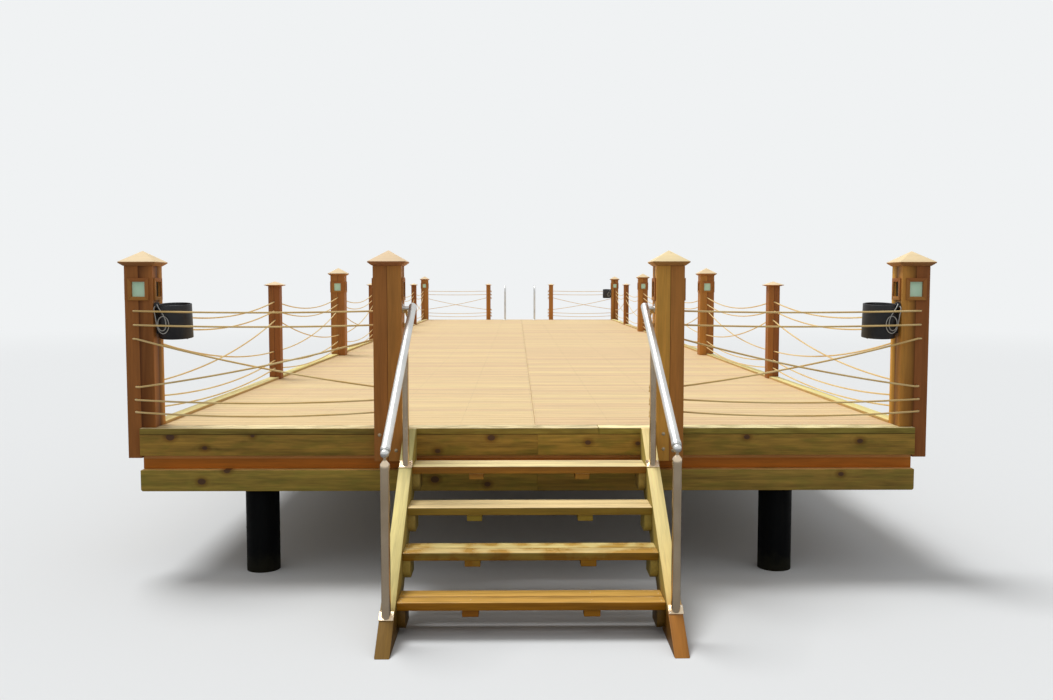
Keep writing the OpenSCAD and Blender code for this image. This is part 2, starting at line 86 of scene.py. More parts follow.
def new_object(name, data):
    made = bpy.data.objects.new(name, data)
    bpy.context.collection.objects.link(made)
    return made


def deselect():
    bpy.ops.object.select_all(action="DESELECT")


def take(piece):
    deselect()
    piece.select_set(True)
    bpy.context.view_layer.objects.active = piece


def settle(piece):
    """Puts a piece's place, turn and scale into its mesh."""
    take(piece)
    bpy.ops.object.transform_apply(location=True, rotation=True, scale=True)


def put(piece, matrix):
    piece.data.transform(matrix)
    return piece


def copy_of(piece, matrix):
    """A copy with its own mesh, moved by a matrix. A mirrored copy is turned right side out."""
    twin = put(new_object(piece.name, piece.data.copy()), matrix)
    if matrix.determinant() < 0:
        twin.data.flip_normals()
    return twin


def discard(piece):
    bpy.data.objects.remove(piece, do_unlink=True)


def join(pieces):
    deselect()
    for piece in pieces:
        piece.select_set(True)
    bpy.context.view_layer.objects.active = pieces[0]
    if len(pieces) > 1:
        bpy.ops.object.join()
    return pieces[0]


def copies(one, places):
    """One joined piece of copies at all the places, instead of the first one."""
    made = [copy_of(one, place) for place in places]
    discard(one)
    return join(made)


def box_of(piece):
    points = [v.co for v in piece.data.vertices]
    low = Vector([min(p[k] for p in points) for k in range(3)])
    high = Vector([max(p[k] for p in points) for k in range(3)])
    return low, high


def low_corner(piece):
    return tuple(box_of(piece)[0])


# Shaping
SHARP_ANGLE = 30
SMOOTH_ANGLE = 35
FLAT_ANGLE = 0.5
SAME_POINT = 0.00001


def added(primitive, **settings):
    """A primitive at its size and place."""
    deselect()
    primitive(**settings)
    piece = bpy.context.object
    settle(piece)
    return piece


def cylinder(sides, radius, depth, place=(0, 0, 0), turn=(0, 0, 0)):
    return added(bpy.ops.mesh.primitive_cylinder_add, vertices=sides, radius=radius, depth=depth,
                 location=place, rotation=[radians(angle) for angle in turn])


def block(middle, size):
    deselect()
    bpy.ops.mesh.primitive_cube_add(size=1, location=middle)
    piece = bpy.context.object
    piece.scale = size
    settle(piece)
    return piece


def modify(piece, kind, **settings):
    modifier = piece.modifiers.new(kind.lower(), kind)
    for key, value in settings.items():
        setattr(modifier, key, value)
    take(piece)
    bpy.ops.object.modifier_apply(modifier=modifier.name)


def ease(piece, width, segments=1):
    """Takes the sharpness off a piece's edges."""
    modify(piece, "BEVEL", width=width, segments=segments, limit_method="ANGLE",
           angle_limit=radians(SHARP_ANGLE))


def repeat(piece, count, pitch):
    """A row of one piece towards +Y."""
    modify(piece, "ARRAY", count=count, use_relative_offset=False, use_constant_offset=True,
           constant_offset_displace=(0, pitch, 0))


def combine(piece, other, operation):
    """Cuts one solid by another, which is then thrown away."""
    modify(piece, "BOOLEAN", operation=operation, solver="EXACT", object=other)
    discard(other)


def open_whole(piece):
    """Opens a piece for editing with all of it picked."""
    take(piece)
    bpy.ops.object.mode_set(mode="EDIT")
    bpy.ops.mesh.select_all(action="SELECT")


def close_edit():
    bpy.ops.object.mode_set(mode="OBJECT")


def pick_faces(piece, wanted):
    """Opens a piece for editing with only those faces picked that a test wants."""
    take(piece)
    bpy.ops.object.mode_set(mode="EDIT")
    bpy.ops.mesh.select_mode(type="FACE")
    bpy.ops.mesh.select_all(action="DESELECT")
    close_edit()
    for polygon in piece.data.polygons:
        polygon.select = wanted(polygon)
    bpy.ops.object.mode_set(mode="EDIT")


def looks_up(polygon):
    return polygon.normal.z > 0.9


def draw_up(height):
    """Extrudes the picked faces along Z."""
    bpy.ops.mesh.extrude_region_move(TRANSFORM_OT_translate={"value": (0, 0, height)})


def close_outwards():
    """Turns all faces outwards and ends the editing."""
    bpy.ops.mesh.select_all(action="SELECT")
    bpy.ops.mesh.normals_make_consistent(inside=False)
    close_edit()


def cut(piece, point, normal):
    """Takes away what lies beyond a plane and closes the cut."""
    open_whole(piece)
    bpy.ops.mesh.bisect(plane_co=point, plane_no=normal, use_fill=True, clear_outer=True)
    close_edit()


def arc(radius, height, start, stop, steps):
    """Profile steps on a ball's outline, between two angles above its middle."""
    turns = [radians(start + (stop - start) * k / steps) for k in range(steps + 1)]
    return [(radius * cos(t), height + radius * sin(t)) for t in turns]


def turned(profile, sides=40):
    """A turned shape on the Z axis: a disc drawn up through (radius, height) steps."""
    radius, height = profile[0]
    piece = added(bpy.ops.mesh.primitive_circle_add, vertices=sides, radius=radius,
                  fill_type="NGON", location=(0, 0, height))
    pick_faces(piece, lambda polygon: True)
    for wide, high in profile[1:]:
        draw_up(high - height)
        bpy.ops.transform.resize(value=(wide / radius, wide / radius, 1),
                                 center_override=(0, 0, high))
        radius, height = wide, high
    close_outwards()
    return piece


def set_tone(piece, tone):
    """Gives a whole piece one number, which picks its own grain and shade."""
    layer = piece.data.attributes.get("tone")
    if layer is None:
        layer = piece.data.attributes.new("tone", "FLOAT", "POINT")
    layer.data.foreach_set("value", [tone] * len(piece.data.vertices))


def set_groove(piece, depth):
    """Gives each point the painted shade of a joint, from 0 to 1, by a rule on its place."""
    layer = piece.data.attributes.new("groove", "FLOAT", "POINT")
    layer.data.foreach_set("value", [depth(v.co) for v in piece.data.vertices])


def finish_piece(piece, name, material, slot, *nodes):
    """Names a piece, dresses it, hangs it under the root and hides the nodes that it replaces."""
    piece.name = name
    piece.data.name = name
    piece.data.materials.clear()
    piece.data.materials.append(material)
    take(piece)
    bpy.ops.object.shade_smooth_by_angle(angle=radians(SMOOTH_ANGLE))
    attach(piece, "root")
    if nodes:
        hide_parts(*nodes)


def dress(node, material):
    """Gives a node of the frame its finish."""
    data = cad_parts[node].data
    data.materials.clear()
    data.materials.append(material)


def sawn(low, high, width, tone=None, segments=1):
    """A sawn timber between two corners, with eased edges."""
    low, high = Vector(low), Vector(high)
    piece = block((low + high) / 2, high - low)
    ease(piece, width, segments)
    set_tone(piece, rng.random() if tone is None else tone)
    return piece


def timbers_of(node):
    """The separate timbers of a node, as clean meshes of their own."""
    piece = new_object(node + "_timber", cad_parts[node].data.copy())
    take(piece)
    bpy.ops.mesh.customdata_custom_splitnormals_clear()
    open_whole(piece)
    bpy.ops.mesh.remove_doubles(threshold=SAME_POINT)
    bpy.ops.mesh.dissolve_limited(angle_limit=radians(FLAT_ANGLE))
    bpy.ops.mesh.separate(type="LOOSE")
    close_edit()
    return list(bpy.context.selected_objects)


def split_at(piece, x):
    """Two pieces from one, cut across at a place along X."""
    twin = copy_of(piece, at(0, 0, 0))
    cut(piece, (x, 0, 0), (1, 0, 0))
    cut(twin, (x, 0, 0), (-1, 0, 0))
    return [piece, twin]


def timber_piece(node, name, material, slot, width=0.003, joint_x=None, joint_z=None):
    """A node's timbers with eased edges, each with its own grain, in one piece."""
    parts = timbers_of(node)
    if joint_x is not None:
        parts = [half for part in parts for half in split_at(part, joint_x)]
    for part in sorted(parts, key=low_corner):
        ease(part, width, 2)
        set_tone(part, rng.random())
        # Painted shade along the joint under the deck boards: points above joint_z are darkened.
        if joint_z:
            set_groove(part, lambda p: float(p.z > joint_z))
    finish_piece(join(parts), name, material, slot, node)


# Nodes of the materials


def srgb(red, green, blue):
    """A screen colour from 0 to 255 as the linear colour that a shader takes."""
    def linear(value):
        value /= 255
        return value / 12.92 if value <= 0.04045 else ((value + 0.055) / 1.055) ** 2.4
    return (linear(red), linear(green), linear(blue), 1.0)


def feed(node, inputs):
    """Links sockets to a node's inputs, and sets plain values on them."""
    for key, value in inputs.items():
        if isinstance(value, bpy.types.NodeSocket):
            node.id_data.links.new(value, node.inputs[key])
        else:
            node.inputs[key].default_value = value


def node_in(beside, kind, inputs=None, **settings):
    """A new node among those of another node or socket."""
    node = beside.id_data.nodes.new("ShaderNode" + kind)
    for key, value in settings.items():
        setattr(node, key, value)
    feed(node, inputs or {})
    return node


def calc(operation, a, b=0.0):
    return node_in(a, "Math", {0: a, 1: b}, operation=operation).outputs[0]


def plus(a, b):
    return calc("ADD", a, b)


def times(a, b):
    return calc("MULTIPLY", a, b)


def swing(value, amount, middle):
    """A value from 0 to 1 as a swing of some amount about a middle."""
    return plus(times(value, amount), middle - amount / 2)


def fade(value, low, high, at_low=0.0, at_high=1.0):
    """A smooth step between two values."""
    ends = {"Value": value, "From Min": low, "From Max": high, "To Min": at_low, "To Max": at_high}
    return node_in(value, "MapRange", ends, interpolation_type="SMOOTHSTEP").outputs["Result"]


def tint(factor, a, b, kind="MIX"):
    return node_in(factor, "Mix", {0: factor, 6: a, 7: b}, data_type="RGBA",
                   blend_type=kind).outputs[2]


def scaled(place, scale):
    return node_in(place, "Mapping", {"Vector": place, "Scale": scale}).outputs[0]


def one_of(vector, axis):
    return node_in(vector, "SeparateXYZ", {0: vector}).outputs[axis]


def own_value(beside, name):
    return node_in(beside, "Attribute", attribute_name=name).outputs["Fac"]


def noise(place, own, scale, detail=2.0):
    """Soft noise with a scale a metre. The value own picks which noise."""
    facts = {"Vector": place, "W": own, "Scale": scale, "Detail": detail}
    return node_in(place, "TexNoise", facts, noise_dimensions="4D").outputs["Fac"]


def ramp(value, stops):
    node = node_in(value, "ValToRGB", {0: value})
    elements = node.color_ramp.elements
    while len(elements) < len(stops):
        elements.new(0.5)
    for element, (place, colour) in zip(elements, stops):
        element.position = place
        element.color = colour
    return node.outputs["Color"]


def new_material(name):
    """A material, its shader, and the place on the object that patterns read."""
    material = bpy.data.materials.new(name)
    material.use_nodes = True
    shader = material.node_tree.nodes["Principled BSDF"]
    return material, shader, node_in(shader, "TexCoord").outputs["Object"]


def bump_into(shader, height, distance, strength=0.4):
    bump = node_in(shader, "Bump", {"Height": height, "Distance": distance, "Strength": strength})
    feed(shader, {"Normal": bump.outputs[0]})


def mottled(name, pattern, dark, light, gloss, metallic=0.0):
    """A finish whose colour and gloss change together, from patch to patch."""
    material, shader, place = new_material(name)
    value = noise(place, *pattern)
    feed(shader, {"Base Color": ramp(value, [dark, light]),
                  "Roughness": fade(value, 0.3, 0.7, *gloss), "Metallic": metallic})
    return material, shader, place


# Timber
GRAIN_STRETCH = 0.06
COARSE_GRAIN = 24.0
FINE_GRAIN = 110.0
COARSE_SHARE = 0.55
GRAIN_DEPTH = 0.0012
OWN_GRAINS = 43.0
RINGS = 130.0
# From how far inside a knot's rim to how far outside it the rings bend, and how much
RING_START = -0.01
RING_REACH = 0.07
RING_BEND = 0.09
KNOT_MOST_R = 0.011
KNOT_DARK = srgb(84, 58, 44)
KNOT_HALO = (0.55, 0.42, 0.32, 1.0)
KNOT_HALO_W = 0.03
# Painted shade that darkens the joints between boards and between laminations
PAINTED_JOINT_SHADE = (0.28, 0.22, 0.18, 1.0)


def colour_at(height, colour):
    """One colour, or a change of colour through (height, colour) stops."""
    return ramp(height, colour) if isinstance(colour[0], tuple) else colour


def knot_distance(place, tone, grain, through, per_metre, spots):
    """How far each point is from the nearest knot's rim, in metres."""
    scale = [1.0, 1.0, 1.0]
    scale[grain] = 0.5
    scale[through] = 0.1
    away = node_in(place, "VectorMath", {0: (7.1, 11.3, 5.9), "Scale": tone}, operation="SCALE")
    moved = node_in(place, "VectorMath", {0: scaled(place, scale), 1: away.outputs[0]},
                    operation="ADD")
    cells = node_in(place, "TexVoronoi", {"Vector": moved.outputs[0], "Scale": per_metre})
    chance = node_in(place, "SeparateColor", {0: cells.outputs["Color"]}).outputs[0]
    far = calc("SUBTRACT", calc("DIVIDE", cells.outputs["Distance"], per_metre),
               times(chance, KNOT_MOST_R))
    scale[grain] = 0.75
    scale[through] = 0.0
    flat = scaled(place, scale)
    for spot, radius in spots:
        centre = [spot[k] * scale[k] for k in range(3)]
        gap = node_in(place, "VectorMath", {0: flat, 1: centre}, operation="DISTANCE")
        far = calc("MINIMUM", far, calc("SUBTRACT", gap.outputs["Value"], radius))
    return far


def wood(name, colour, grain, through=2, contrast=0.6, rings=0.0, knots=0.0, spots=(), rough=0.6,
         vary=0.2, warm=0.02, top=None, stain=None, wet=None, slope=0.0):
    """Timber whose fibres run along one axis, with painted sunlight on its up-facing faces, rings,
    knots, stain, damp and painted shade in its joints.
    """
    material, shader, place = new_material(name)
    height = one_of(place, "Z")
    if slope:
        place = node_in(place, "Mapping", {"Vector": place, "Rotation": (slope, 0.0, 0.0)}).outputs[0]
    tone = own_value(shader, "tone")
    own = times(tone, OWN_GRAINS)
    stretch = [1.0, 1.0, 1.0]
    stretch[grain] = GRAIN_STRETCH
    fibre = scaled(place, stretch)
    value = plus(times(noise(fibre, own, COARSE_GRAIN, 4.0), COARSE_SHARE),
                 times(noise(fibre, own, FINE_GRAIN, 3.0), 1 - COARSE_SHARE))
    if knots:
        far = knot_distance(place, tone, grain, through, knots, spots)
        if rings:
            bend = fade(far, RING_START, RING_REACH, RING_BEND, 0.0)
            wave = times(plus(noise(fibre, own, 3.0, 1.5), bend), RINGS)
            value = plus(value, times(calc("SINE", wave), rings))
    base = colour_at(height, colour)
    # Painted sunlight: faces that look up take the paler top colour, as if lit from above.
    if top:
        up = one_of(node_in(shader, "TexCoord").outputs["Normal"], "Z")
        base = tint(fade(up, 0.3, 0.7), base, colour_at(height, top))
    if stain:
        stretch[grain] = 0.3
        patch = noise(scaled(place, stretch), own, 22.0, 6.0)
        base = tint(fade(patch, 0.42, 0.66, 0.0, 0.55), base, stain)
    shade = times(swing(tone, vary, 1.0), swing(value, contrast, 1.0))
    hue = swing(tone, warm, 0.5)
    base = node_in(shader, "HueSaturation", {"Color": base, "Hue": hue, "Value": shade}).outputs[0]
    gloss = plus(times(value, 0.25), rough - 0.12)
    if knots:
        base = tint(fade(far, 0.0, KNOT_HALO_W, 0.75, 0.0), base, KNOT_HALO, "MULTIPLY")
        base = tint(fade(far, -0.002, 0.003, 0.88, 0.0), base, KNOT_DARK)
    if wet:
        low, high, ragged, soaked = wet
        waves = calc("SUBTRACT", noise(place, own, 7.0, 3.0), 0.5)
        damp = fade(plus(height, times(waves, ragged)), low, high, 1.0, 0.0)
        base = tint(damp, base, soaked, "MULTIPLY")
        gloss = calc("SUBTRACT", gloss, times(damp, 0.3))
    # Painted shade in the joints, by the groove attribute
    base = tint(own_value(shader, "groove"), base, PAINTED_JOINT_SHADE, "MULTIPLY")
    feed(shader, {"Base Color": base, "Roughness": gloss, "Specular IOR Level": 0.2})
    bump_into(shader, value, GRAIN_DEPTH)
    return material


# Other finishes
STRAND_LAY = 0.040
STRANDS = 3


def stainless_steel(name, dull, bright, rough):
    """Satin polished tube, with faint smears."""
    return mottled(name, (1.0, 6.0, 2.0), (0.3, dull), (0.7, bright),
                   (rough - 0.04, rough + 0.04), 1.0)[0]


def zinc():
    return mottled("zinc", (0.0, 300.0, 2.0), (0.35, srgb(150, 134, 104)),
                   (0.65, srgb(206, 190, 158)), (0.32, 0.5), 0.8)[0]


def grey_flex():
    return mottled("grey_flex", (0.0, 60.0, 3.0), (0.3, srgb(168, 168, 164)),
                   (0.7, srgb(206, 205, 200)), (0.4, 0.55))[0]


def black_plastic():
    """Grained plastic with dust on it."""
    material, shader, place = mottled("black_plastic", (4.0, 12.0, 4.0), (0.35, srgb(22, 23, 27)),
                                      (0.7, srgb(44, 45, 48)), (0.36, 0.55))
    bump_into(shader, noise(place, 0.0, 900.0, 2.0), 0.0004, 0.3)
    return material


def pile_paint():
    """Near black coating, with a dull growth near the ground line."""
    material, shader, place = new_material("pile_paint")
    blotch = noise(place, 0.0, 14.0, 5.0)
    runs = noise(scaled(place, (1.0, 1.0, 0.1)), 2.0, 30.0, 3.0)
    colour = ramp(runs, [(0.3, srgb(3, 4, 5)), (0.55, srgb(7, 8, 9)), (0.75, srgb(16, 15, 13))])
    ragged = plus(one_of(place, "Z"), times(blotch, 0.22))
    growth = fade(ragged, 0.14, 0.26, 0.8, 0.0)
    feed(shader, {"Base Color": tint(growth, colour, srgb(34, 33, 24)),
                  "Roughness": fade(blotch, 0.3, 0.7, 0.4, 0.66),
                  "Specular IOR Level": 0.08})
    bump_into(shader, blotch, 0.003)
    return material


def rope_lay():
    """Three strands laid round each other, from the map of length and turn, with painted shade in the
    grooves between them.
    """
    material, shader, place = new_material("rope_lay")
    lay = node_in(shader, "UVMap", uv_map="lay").outputs[0]
    turns = calc("DIVIDE", one_of(lay, "X"), STRAND_LAY)
    strand = times(plus(one_of(lay, "Y"), turns), float(STRANDS))
    groove = calc("ABSOLUTE", calc("SINE", times(strand, pi)))
    weather = noise(place, 0.0, 3.0, 3.0)
    hair = noise(place, 3.0, 700.0, 2.0)
    colour = ramp(weather, [(0.3, srgb(236, 198, 124)), (0.5, srgb(247, 214, 144)),
                            (0.7, srgb(252, 228, 168))])
    # Painted shade: the grooves between the strands are darkened.
    dark = fade(groove, 0.0, 0.45, 0.36, 0.0)
    feed(shader, {"Base Color": tint(dark, colour, (0.55, 0.42, 0.27, 1.0), "MULTIPLY"),
                  "Roughness": 0.85, "Sheen Weight": 0.2})
    bump_into(shader, plus(groove, times(hair, 0.3)), 0.0012, 0.6)
    return material


def frosted_pane():
    """Pale frosted glass with a faint painted glow towards the front and back, and painted shade that
    darkens it towards the sides.
    """
    material, shader, place = new_material("frosted_pane")
    cloudy = noise(place, 0.0, 24.0, 3.0)
    frost = noise(place, 2.0, 600.0, 2.0)
    # Painted shade: panes that face sideways are darkened.
    across = one_of(node_in(shader, "TexCoord").outputs["Normal"], "X")
    sideways = fade(calc("ABSOLUTE", across), 0.4, 0.6)
    colour = ramp(cloudy, [(0.3, srgb(196, 238, 206)), (0.7, srgb(214, 246, 220))])
    # Painted glow: the front and back panes give off a faint light, though the lantern is not lit.
    glow = tint(sideways, (0.70, 1.0, 0.72, 1.0), (0.0, 0.0, 0.0, 1.0))
    feed(shader, {"Base Color": tint(sideways, colour, srgb(58, 56, 46)),
                  "Roughness": fade(frost, 0.3, 0.7, 0.28, 0.46), "IOR": 1.45,
                  "Emission Color": glow, "Emission Strength": 0.08})
    bump_into(shader, frost, 0.0003, 0.3)
    return material


# Camera: the photograph's place and lens
PHOTO_W = 1053
FOCAL_PX = 985.2
SENSOR = 36.0
CAMERA_PLACE = (-0.077, FRONT_Y - 6.349, 1.904)
CAMERA_DOWN = 3.79
CAMERA_RIGHT = 0.56


def make_camera():
    data = bpy.data.cameras.new("camera")
    data.sensor_width = SENSOR
    data.lens = FOCAL_PX / PHOTO_W * SENSOR
    data.clip_end = 500
    camera = new_object("camera", data)
    camera.location = CAMERA_PLACE
    camera.rotation_euler = (radians(90 - CAMERA_DOWN), 0, radians(-CAMERA_RIGHT))
    bpy.context.scene.camera = camera


# Floor, backdrop and light
FLOOR_R = 120.0
FLOOR_FADES = (13.0, 34.0)
PALE = srgb(240, 242, 243)
FLOOR_SEEN = srgb(226, 228, 229)
FLOOR_LIT = srgb(136, 136, 136)
SOFT_STRENGTH = 0.48
KEY_STRENGTH = 2.0
KEY_SPREAD = 24
KEY_TOWARDS = (0.30, -0.24, -0.92)


def make_stage():
    """A pale floor that runs out into the pale background, and soft light from above."""
    floor = added(bpy.ops.mesh.primitive_circle_add, vertices=96, radius=FLOOR_R, fill_type="NGON")
    floor.name = "floor"
    material, shader, place = new_material("floor")
    seen = node_in(shader, "LightPath").outputs["Is Camera Ray"]
    feed(shader, {"Base Color": tint(seen, FLOOR_LIT, FLOOR_SEEN), "Roughness": 0.9,
                  "Specular IOR Level": 0.1})
    out = node_in(place, "VectorMath", {0: place}, operation="LENGTH").outputs["Value"]
    glow = node_in(shader, "Emission", {"Color": PALE, "Strength": 1.0})
    mix = node_in(shader, "MixShader", {0: times(fade(out, *FLOOR_FADES), seen),
                                        1: shader.outputs[0], 2: glow.outputs[0]})
    feed(material.node_tree.nodes["Material Output"], {"Surface": mix.outputs[0]})
    floor.data.materials.append(material)
    world = bpy.data.worlds.new("studio")
    bpy.context.scene.world = world
    world.use_nodes = True
    soft = world.node_tree.nodes["Background"]
    path = node_in(soft, "LightPath").outputs
    mirrored = calc("MAXIMUM", path["Is Glossy Ray"], path["Is Transmission Ray"])
    seen = calc("MAXIMUM", path["Is Camera Ray"], mirrored)
    feed(soft, {"Color": (1.0, 1.0, 1.0, 1.0), "Strength": SOFT_STRENGTH})
    backdrop = node_in(soft, "Background", {"Color": PALE, "Strength": 1.0})
    mix = node_in(soft, "MixShader", {0: seen, 1: soft.outputs[0], 2: backdrop.outputs[0]})
    feed(world.node_tree.nodes["World Output"], {"Surface": mix.outputs[0]})
    lamp = bpy.data.lights.new("key", "SUN")
    lamp.energy = KEY_STRENGTH
    lamp.angle = radians(KEY_SPREAD)
    key = new_object("key", lamp)
    key.rotation_euler = Vector(KEY_TOWARDS).to_track_quat("-Z", "Y").to_euler()
    bpy.context.scene.view_settings.view_transform = "Standard"


# Ropes: six levels on each side, through every post from gate post to end post
ROPE_D = 0.012
HOLE_Z = [0.760, 0.670, 0.580, 0.270, 0.185, 0.105]
SAG = 0.098
SHORT_SAG = 0.028
SAG_SHARE = [1, 1, 0.87, 0.87, 0.8, 0.7]
SHORT_SHARE = [0.36, 0.43, 0.93, 0.93, 0.79, 1]
CROSS_SHIFT = [0, 0, 0.009, -0.009, 0, 0]
CORNER_HOLE_X = SIDE_X + 0.030
LEAD_R = 0.030
LEAD_Y = END_INSET - BIG_S / 2 - LEAD_R - 0.009
ROPE_STEP = 0.055
BEND_STEPS = 6
END_PROUD = 0.004


def hole_z(rope, i):
    """Height of a rope's hole at post line i: the third and fourth ropes swap at each post."""
    swapped = {2: 3, 3: 2}.get(rope, rope) if i % 2 else rope
    return DECK_Z + HOLE_Z[swapped]


def rope_x(i):
    if i in (0, BAYS):
        return CORNER_HOLE_X
    return BIG_X if i % 2 == 0 else SMALL_X


def sagging(a, b, depth):
    """Points of the arc that hangs below the straight line from a to b."""
    chord = (b - a).length
    radius = chord ** 2 / (8 * depth) + depth / 2
    half = asin(chord / 2 / radius)
    along = (b - a).normalized()
    up = (Vector((0, 0, 1)) - along * along.z).normalized()
    centre = (a + b) / 2 + up * (radius - depth)
    steps = max(4, round(chord / ROPE_STEP))
    turns = [half * (2 * k / steps - 1) for k in range(steps + 1)]
    return [centre + along * radius * sin(t) - up * radius * cos(t) for t in turns]


def end_lead(rope, gate, gate_half, y_gate, inward):
    """From a gate post's inner face to the hole in the corner post, on the right."""
    shift = CROSS_SHIFT[rope]
    y = y_gate + inward * (LEAD_Y + shift)
    low, high = hole_z(rope, 1), hole_z(rope, 0)
    points = [Vector((gate - gate_half - END_PROUD, y, low))]
    start = Vector((gate + gate_half, y, low))
    stop = Vector((CORNER_HOLE_X + shift - LEAD_R, y, high))
    points += sagging(start, stop, SHORT_SAG * SHORT_SHARE[rope])
    for k in range(1, BEND_STEPS + 1):
        bend = pi / 2 * k / BEND_STEPS
        points.append(stop + Vector((LEAD_R * sin(bend), inward * LEAD_R * (1 - cos(bend)), 0)))
    return points


def rope_route(rope):
    """The whole route of one rope on the right, from gate post to end post."""
    shift = CROSS_SHIFT[rope]
    route = end_lead(rope, GATE_X, BIG_S / 2, FRONT_Y, 1)
    for i in range(BAYS):
        a = Vector((rope_x(i) + shift, post_y(i) + post_half(i), hole_z(rope, i)))
        b = Vector((rope_x(i + 1) + shift, post_y(i + 1) - post_half(i + 1), hole_z(rope, i + 1)))
        route += sagging(a, b, SAG * SAG_SHARE[rope])
    return route + end_lead(rope, END_GATE_X, SMALL_S / 2, BACK_Y, -1)[::-1]


def tube(name, route, diameter, sides=8):
    """A closed tube along a route, with a map of the length along it and the turn round it."""
    mesh = bmesh.new()
    lay = mesh.loops.layers.uv.new("lay")
    last = len(route) - 1
    across = Vector((0.3, 0.2, 1))
    rings, reach = [], []
    travelled = 0.0
    for i, point in enumerate(route):
        ahead = (route[min(i + 1, last)] - route[max(i - 1, 0)]).normalized()
        across = (across - ahead * across.dot(ahead)).normalized()
        side = ahead.cross(across)
        turns = [2 * pi * k / sides for k in range(sides)]
        rings.append([mesh.verts.new(point + (across * cos(t) + side * sin(t)) * diameter / 2)
                      for t in turns])
        travelled += (point - route[max(i - 1, 0)]).length
        reach.append(travelled)
    for i in range(last):
        for k in range(sides):
            after = (k + 1) % sides
            face = mesh.faces.new((rings[i][k], rings[i][after],
                                   rings[i + 1][after], rings[i + 1][k]))
            face.smooth = True
            corners = ((i, k), (i, k + 1), (i + 1, k + 1), (i + 1, k))
            for loop, (ring, turn) in zip(face.loops, corners):
                loop[lay].uv = (reach[ring], turn / sides)
    mesh.faces.new(rings[0][::-1])
    mesh.faces.new(rings[last])
    data = bpy.data.meshes.new(name)
    mesh.to_mesh(data)
    mesh.free()
    return new_object(name, data)


def make_cord(name, route, diameter, material, slot, node):
    """A cord that hangs along its route, in place of a node's."""
    piece = tube(name, route, diameter)
    finish_piece(piece, name, material, slot, node)


def make_ropes(material):
    for side, word in SIDES:
        for rope in range(len(HOLE_Z)):
            route = [Vector((side * p.x, p.y, p.z)) for p in rope_route(rope)]
            make_cord("rope_%s_%d" % (word, rope + 1), route, ROPE_D, material, "rope",
                      "ropes_" + word)


# Stopper knots behind the gate posts and the end posts
KNOT_R = 0.0105
KNOT_TURNS = [(0.000, 12), (0.009, -14), (0.017, 8)]
TAIL_L = 0.034


def knot():
    """Three close turns of rope round the rope, with a short tail, towards -X."""
    parts = [added(bpy.ops.mesh.primitive_torus_add, major_radius=KNOT_R,
                   minor_radius=ROPE_D * 0.48, major_segments=18, minor_segments=8,
                   location=(-x - 0.006, 0, 0), rotation=(radians(lean), radians(90 + lean), 0))
             for x, lean in KNOT_TURNS]
    parts.append(added(bpy.ops.mesh.primitive_uv_sphere_add, segments=12, ring_count=8,
                       radius=KNOT_R, location=(-0.016, 0, 0)))
    tail = cylinder(10, ROPE_D * 0.46, TAIL_L, (-0.022, 0.003, -TAIL_L / 2 - 0.004), (8, 14, 0))
    ease(tail, 0.002, 2)
    return join(parts + [tail])


def make_knots(material):
    places = []
    for side in (-1, 1):
        for rope in range(len(HOLE_Z)):
            for face, y_gate, inward in ((GATE_X - BIG_S / 2, FRONT_Y, 1),
                                         (END_GATE_X - SMALL_S / 2, BACK_Y, -1)):
                y = y_gate + inward * (LEAD_Y + CROSS_SHIFT[rope])
                places.append(at(side * face, y, hole_z(rope, 1)) @ Matrix.Scale(side, 4, (1, 0, 0)))
    finish_piece(copies(knot(), places), "rope_knots", material, "rope")


# Speaker drums on the corner posts, each with a loop of flex
DRUM_R = 0.106
DRUM_H = 0.222
DRUM_Z = DECK_Z + 0.582
DRUM_LEAN = 5
DRUM_WALL = 0.008
DRUM_SINK = 0.022
DRUM_X = SIDE_X - BIG_S / 2 - 0.010 - DRUM_R
LID_MARGIN = 0.018
LID_T = 0.005
PIN_X = [-0.070, 0.030]
FLEX_D = 0.006
# Millimetres from a drum's middle line and the deck's top, with +X towards the post
FLEX_ROUTE = [
    (104, -78, 788), (104, -92, 786), (103, -104, 777), (100, -111, 758), (95, -112, 732),
    (90, -112, 704), (86, -112, 675), (79, -112, 648), (67, -112, 626), (50, -112, 614),
    (32, -112, 617), (17, -112, 632), (9, -112, 654), (8, -112, 680), (15, -112, 704),
    (30, -112, 721), (50, -112, 724), (67, -113, 712), (76, -115, 690), (75, -117, 664),
    (66, -119, 642), (50, -119, 632), (34, -119, 638), (25, -119, 656), (24, -119, 680),
    (28, -119, 705), (38, -119, 730), (52, -119, 754), (66, -116, 775), (78, -108, 792),
    (87, -95, 801), (91, -78, 803),
]


def speaker_places():
    """Each drum's place, with +X towards its post."""
    yield "front_left", at(-DRUM_X, post_y(0), 0) @ Matrix.Scale(-1, 4, (1, 0, 0))
    yield "front_right", at(DRUM_X, post_y(0), 0)
    yield "back_right", at(DRUM_X, post_y(BAYS), 0)


def smooth_route(points, parts=4):
    """A curve through given points, with more points between them."""
    out = []
    for i in range(len(points) - 1):
        a, b = points[max(i - 1, 0)], points[i]
        c, d = points[i + 1], points[min(i + 2, len(points) - 1)]
        for k in range(parts):
            t = k / parts
            out.append(0.5 * (2 * b + (c - a) * t + (2 * a - 5 * b + 4 * c - d) * t * t
                              + (3 * b - a - 3 * c + d) * t ** 3))
    return out + [points[-1]]


def make_flexes(material):
    hand_set = [Vector((x / 1000, y / 1000, DECK_Z + z / 1000)) for x, y, z in FLEX_ROUTE]
    for word, place in speaker_places():
        route = [place @ p for p in smooth_route(hand_set)]
        make_cord("speaker_flex_" + word, route, FLEX_D, material, "cord", "speaker_cords")


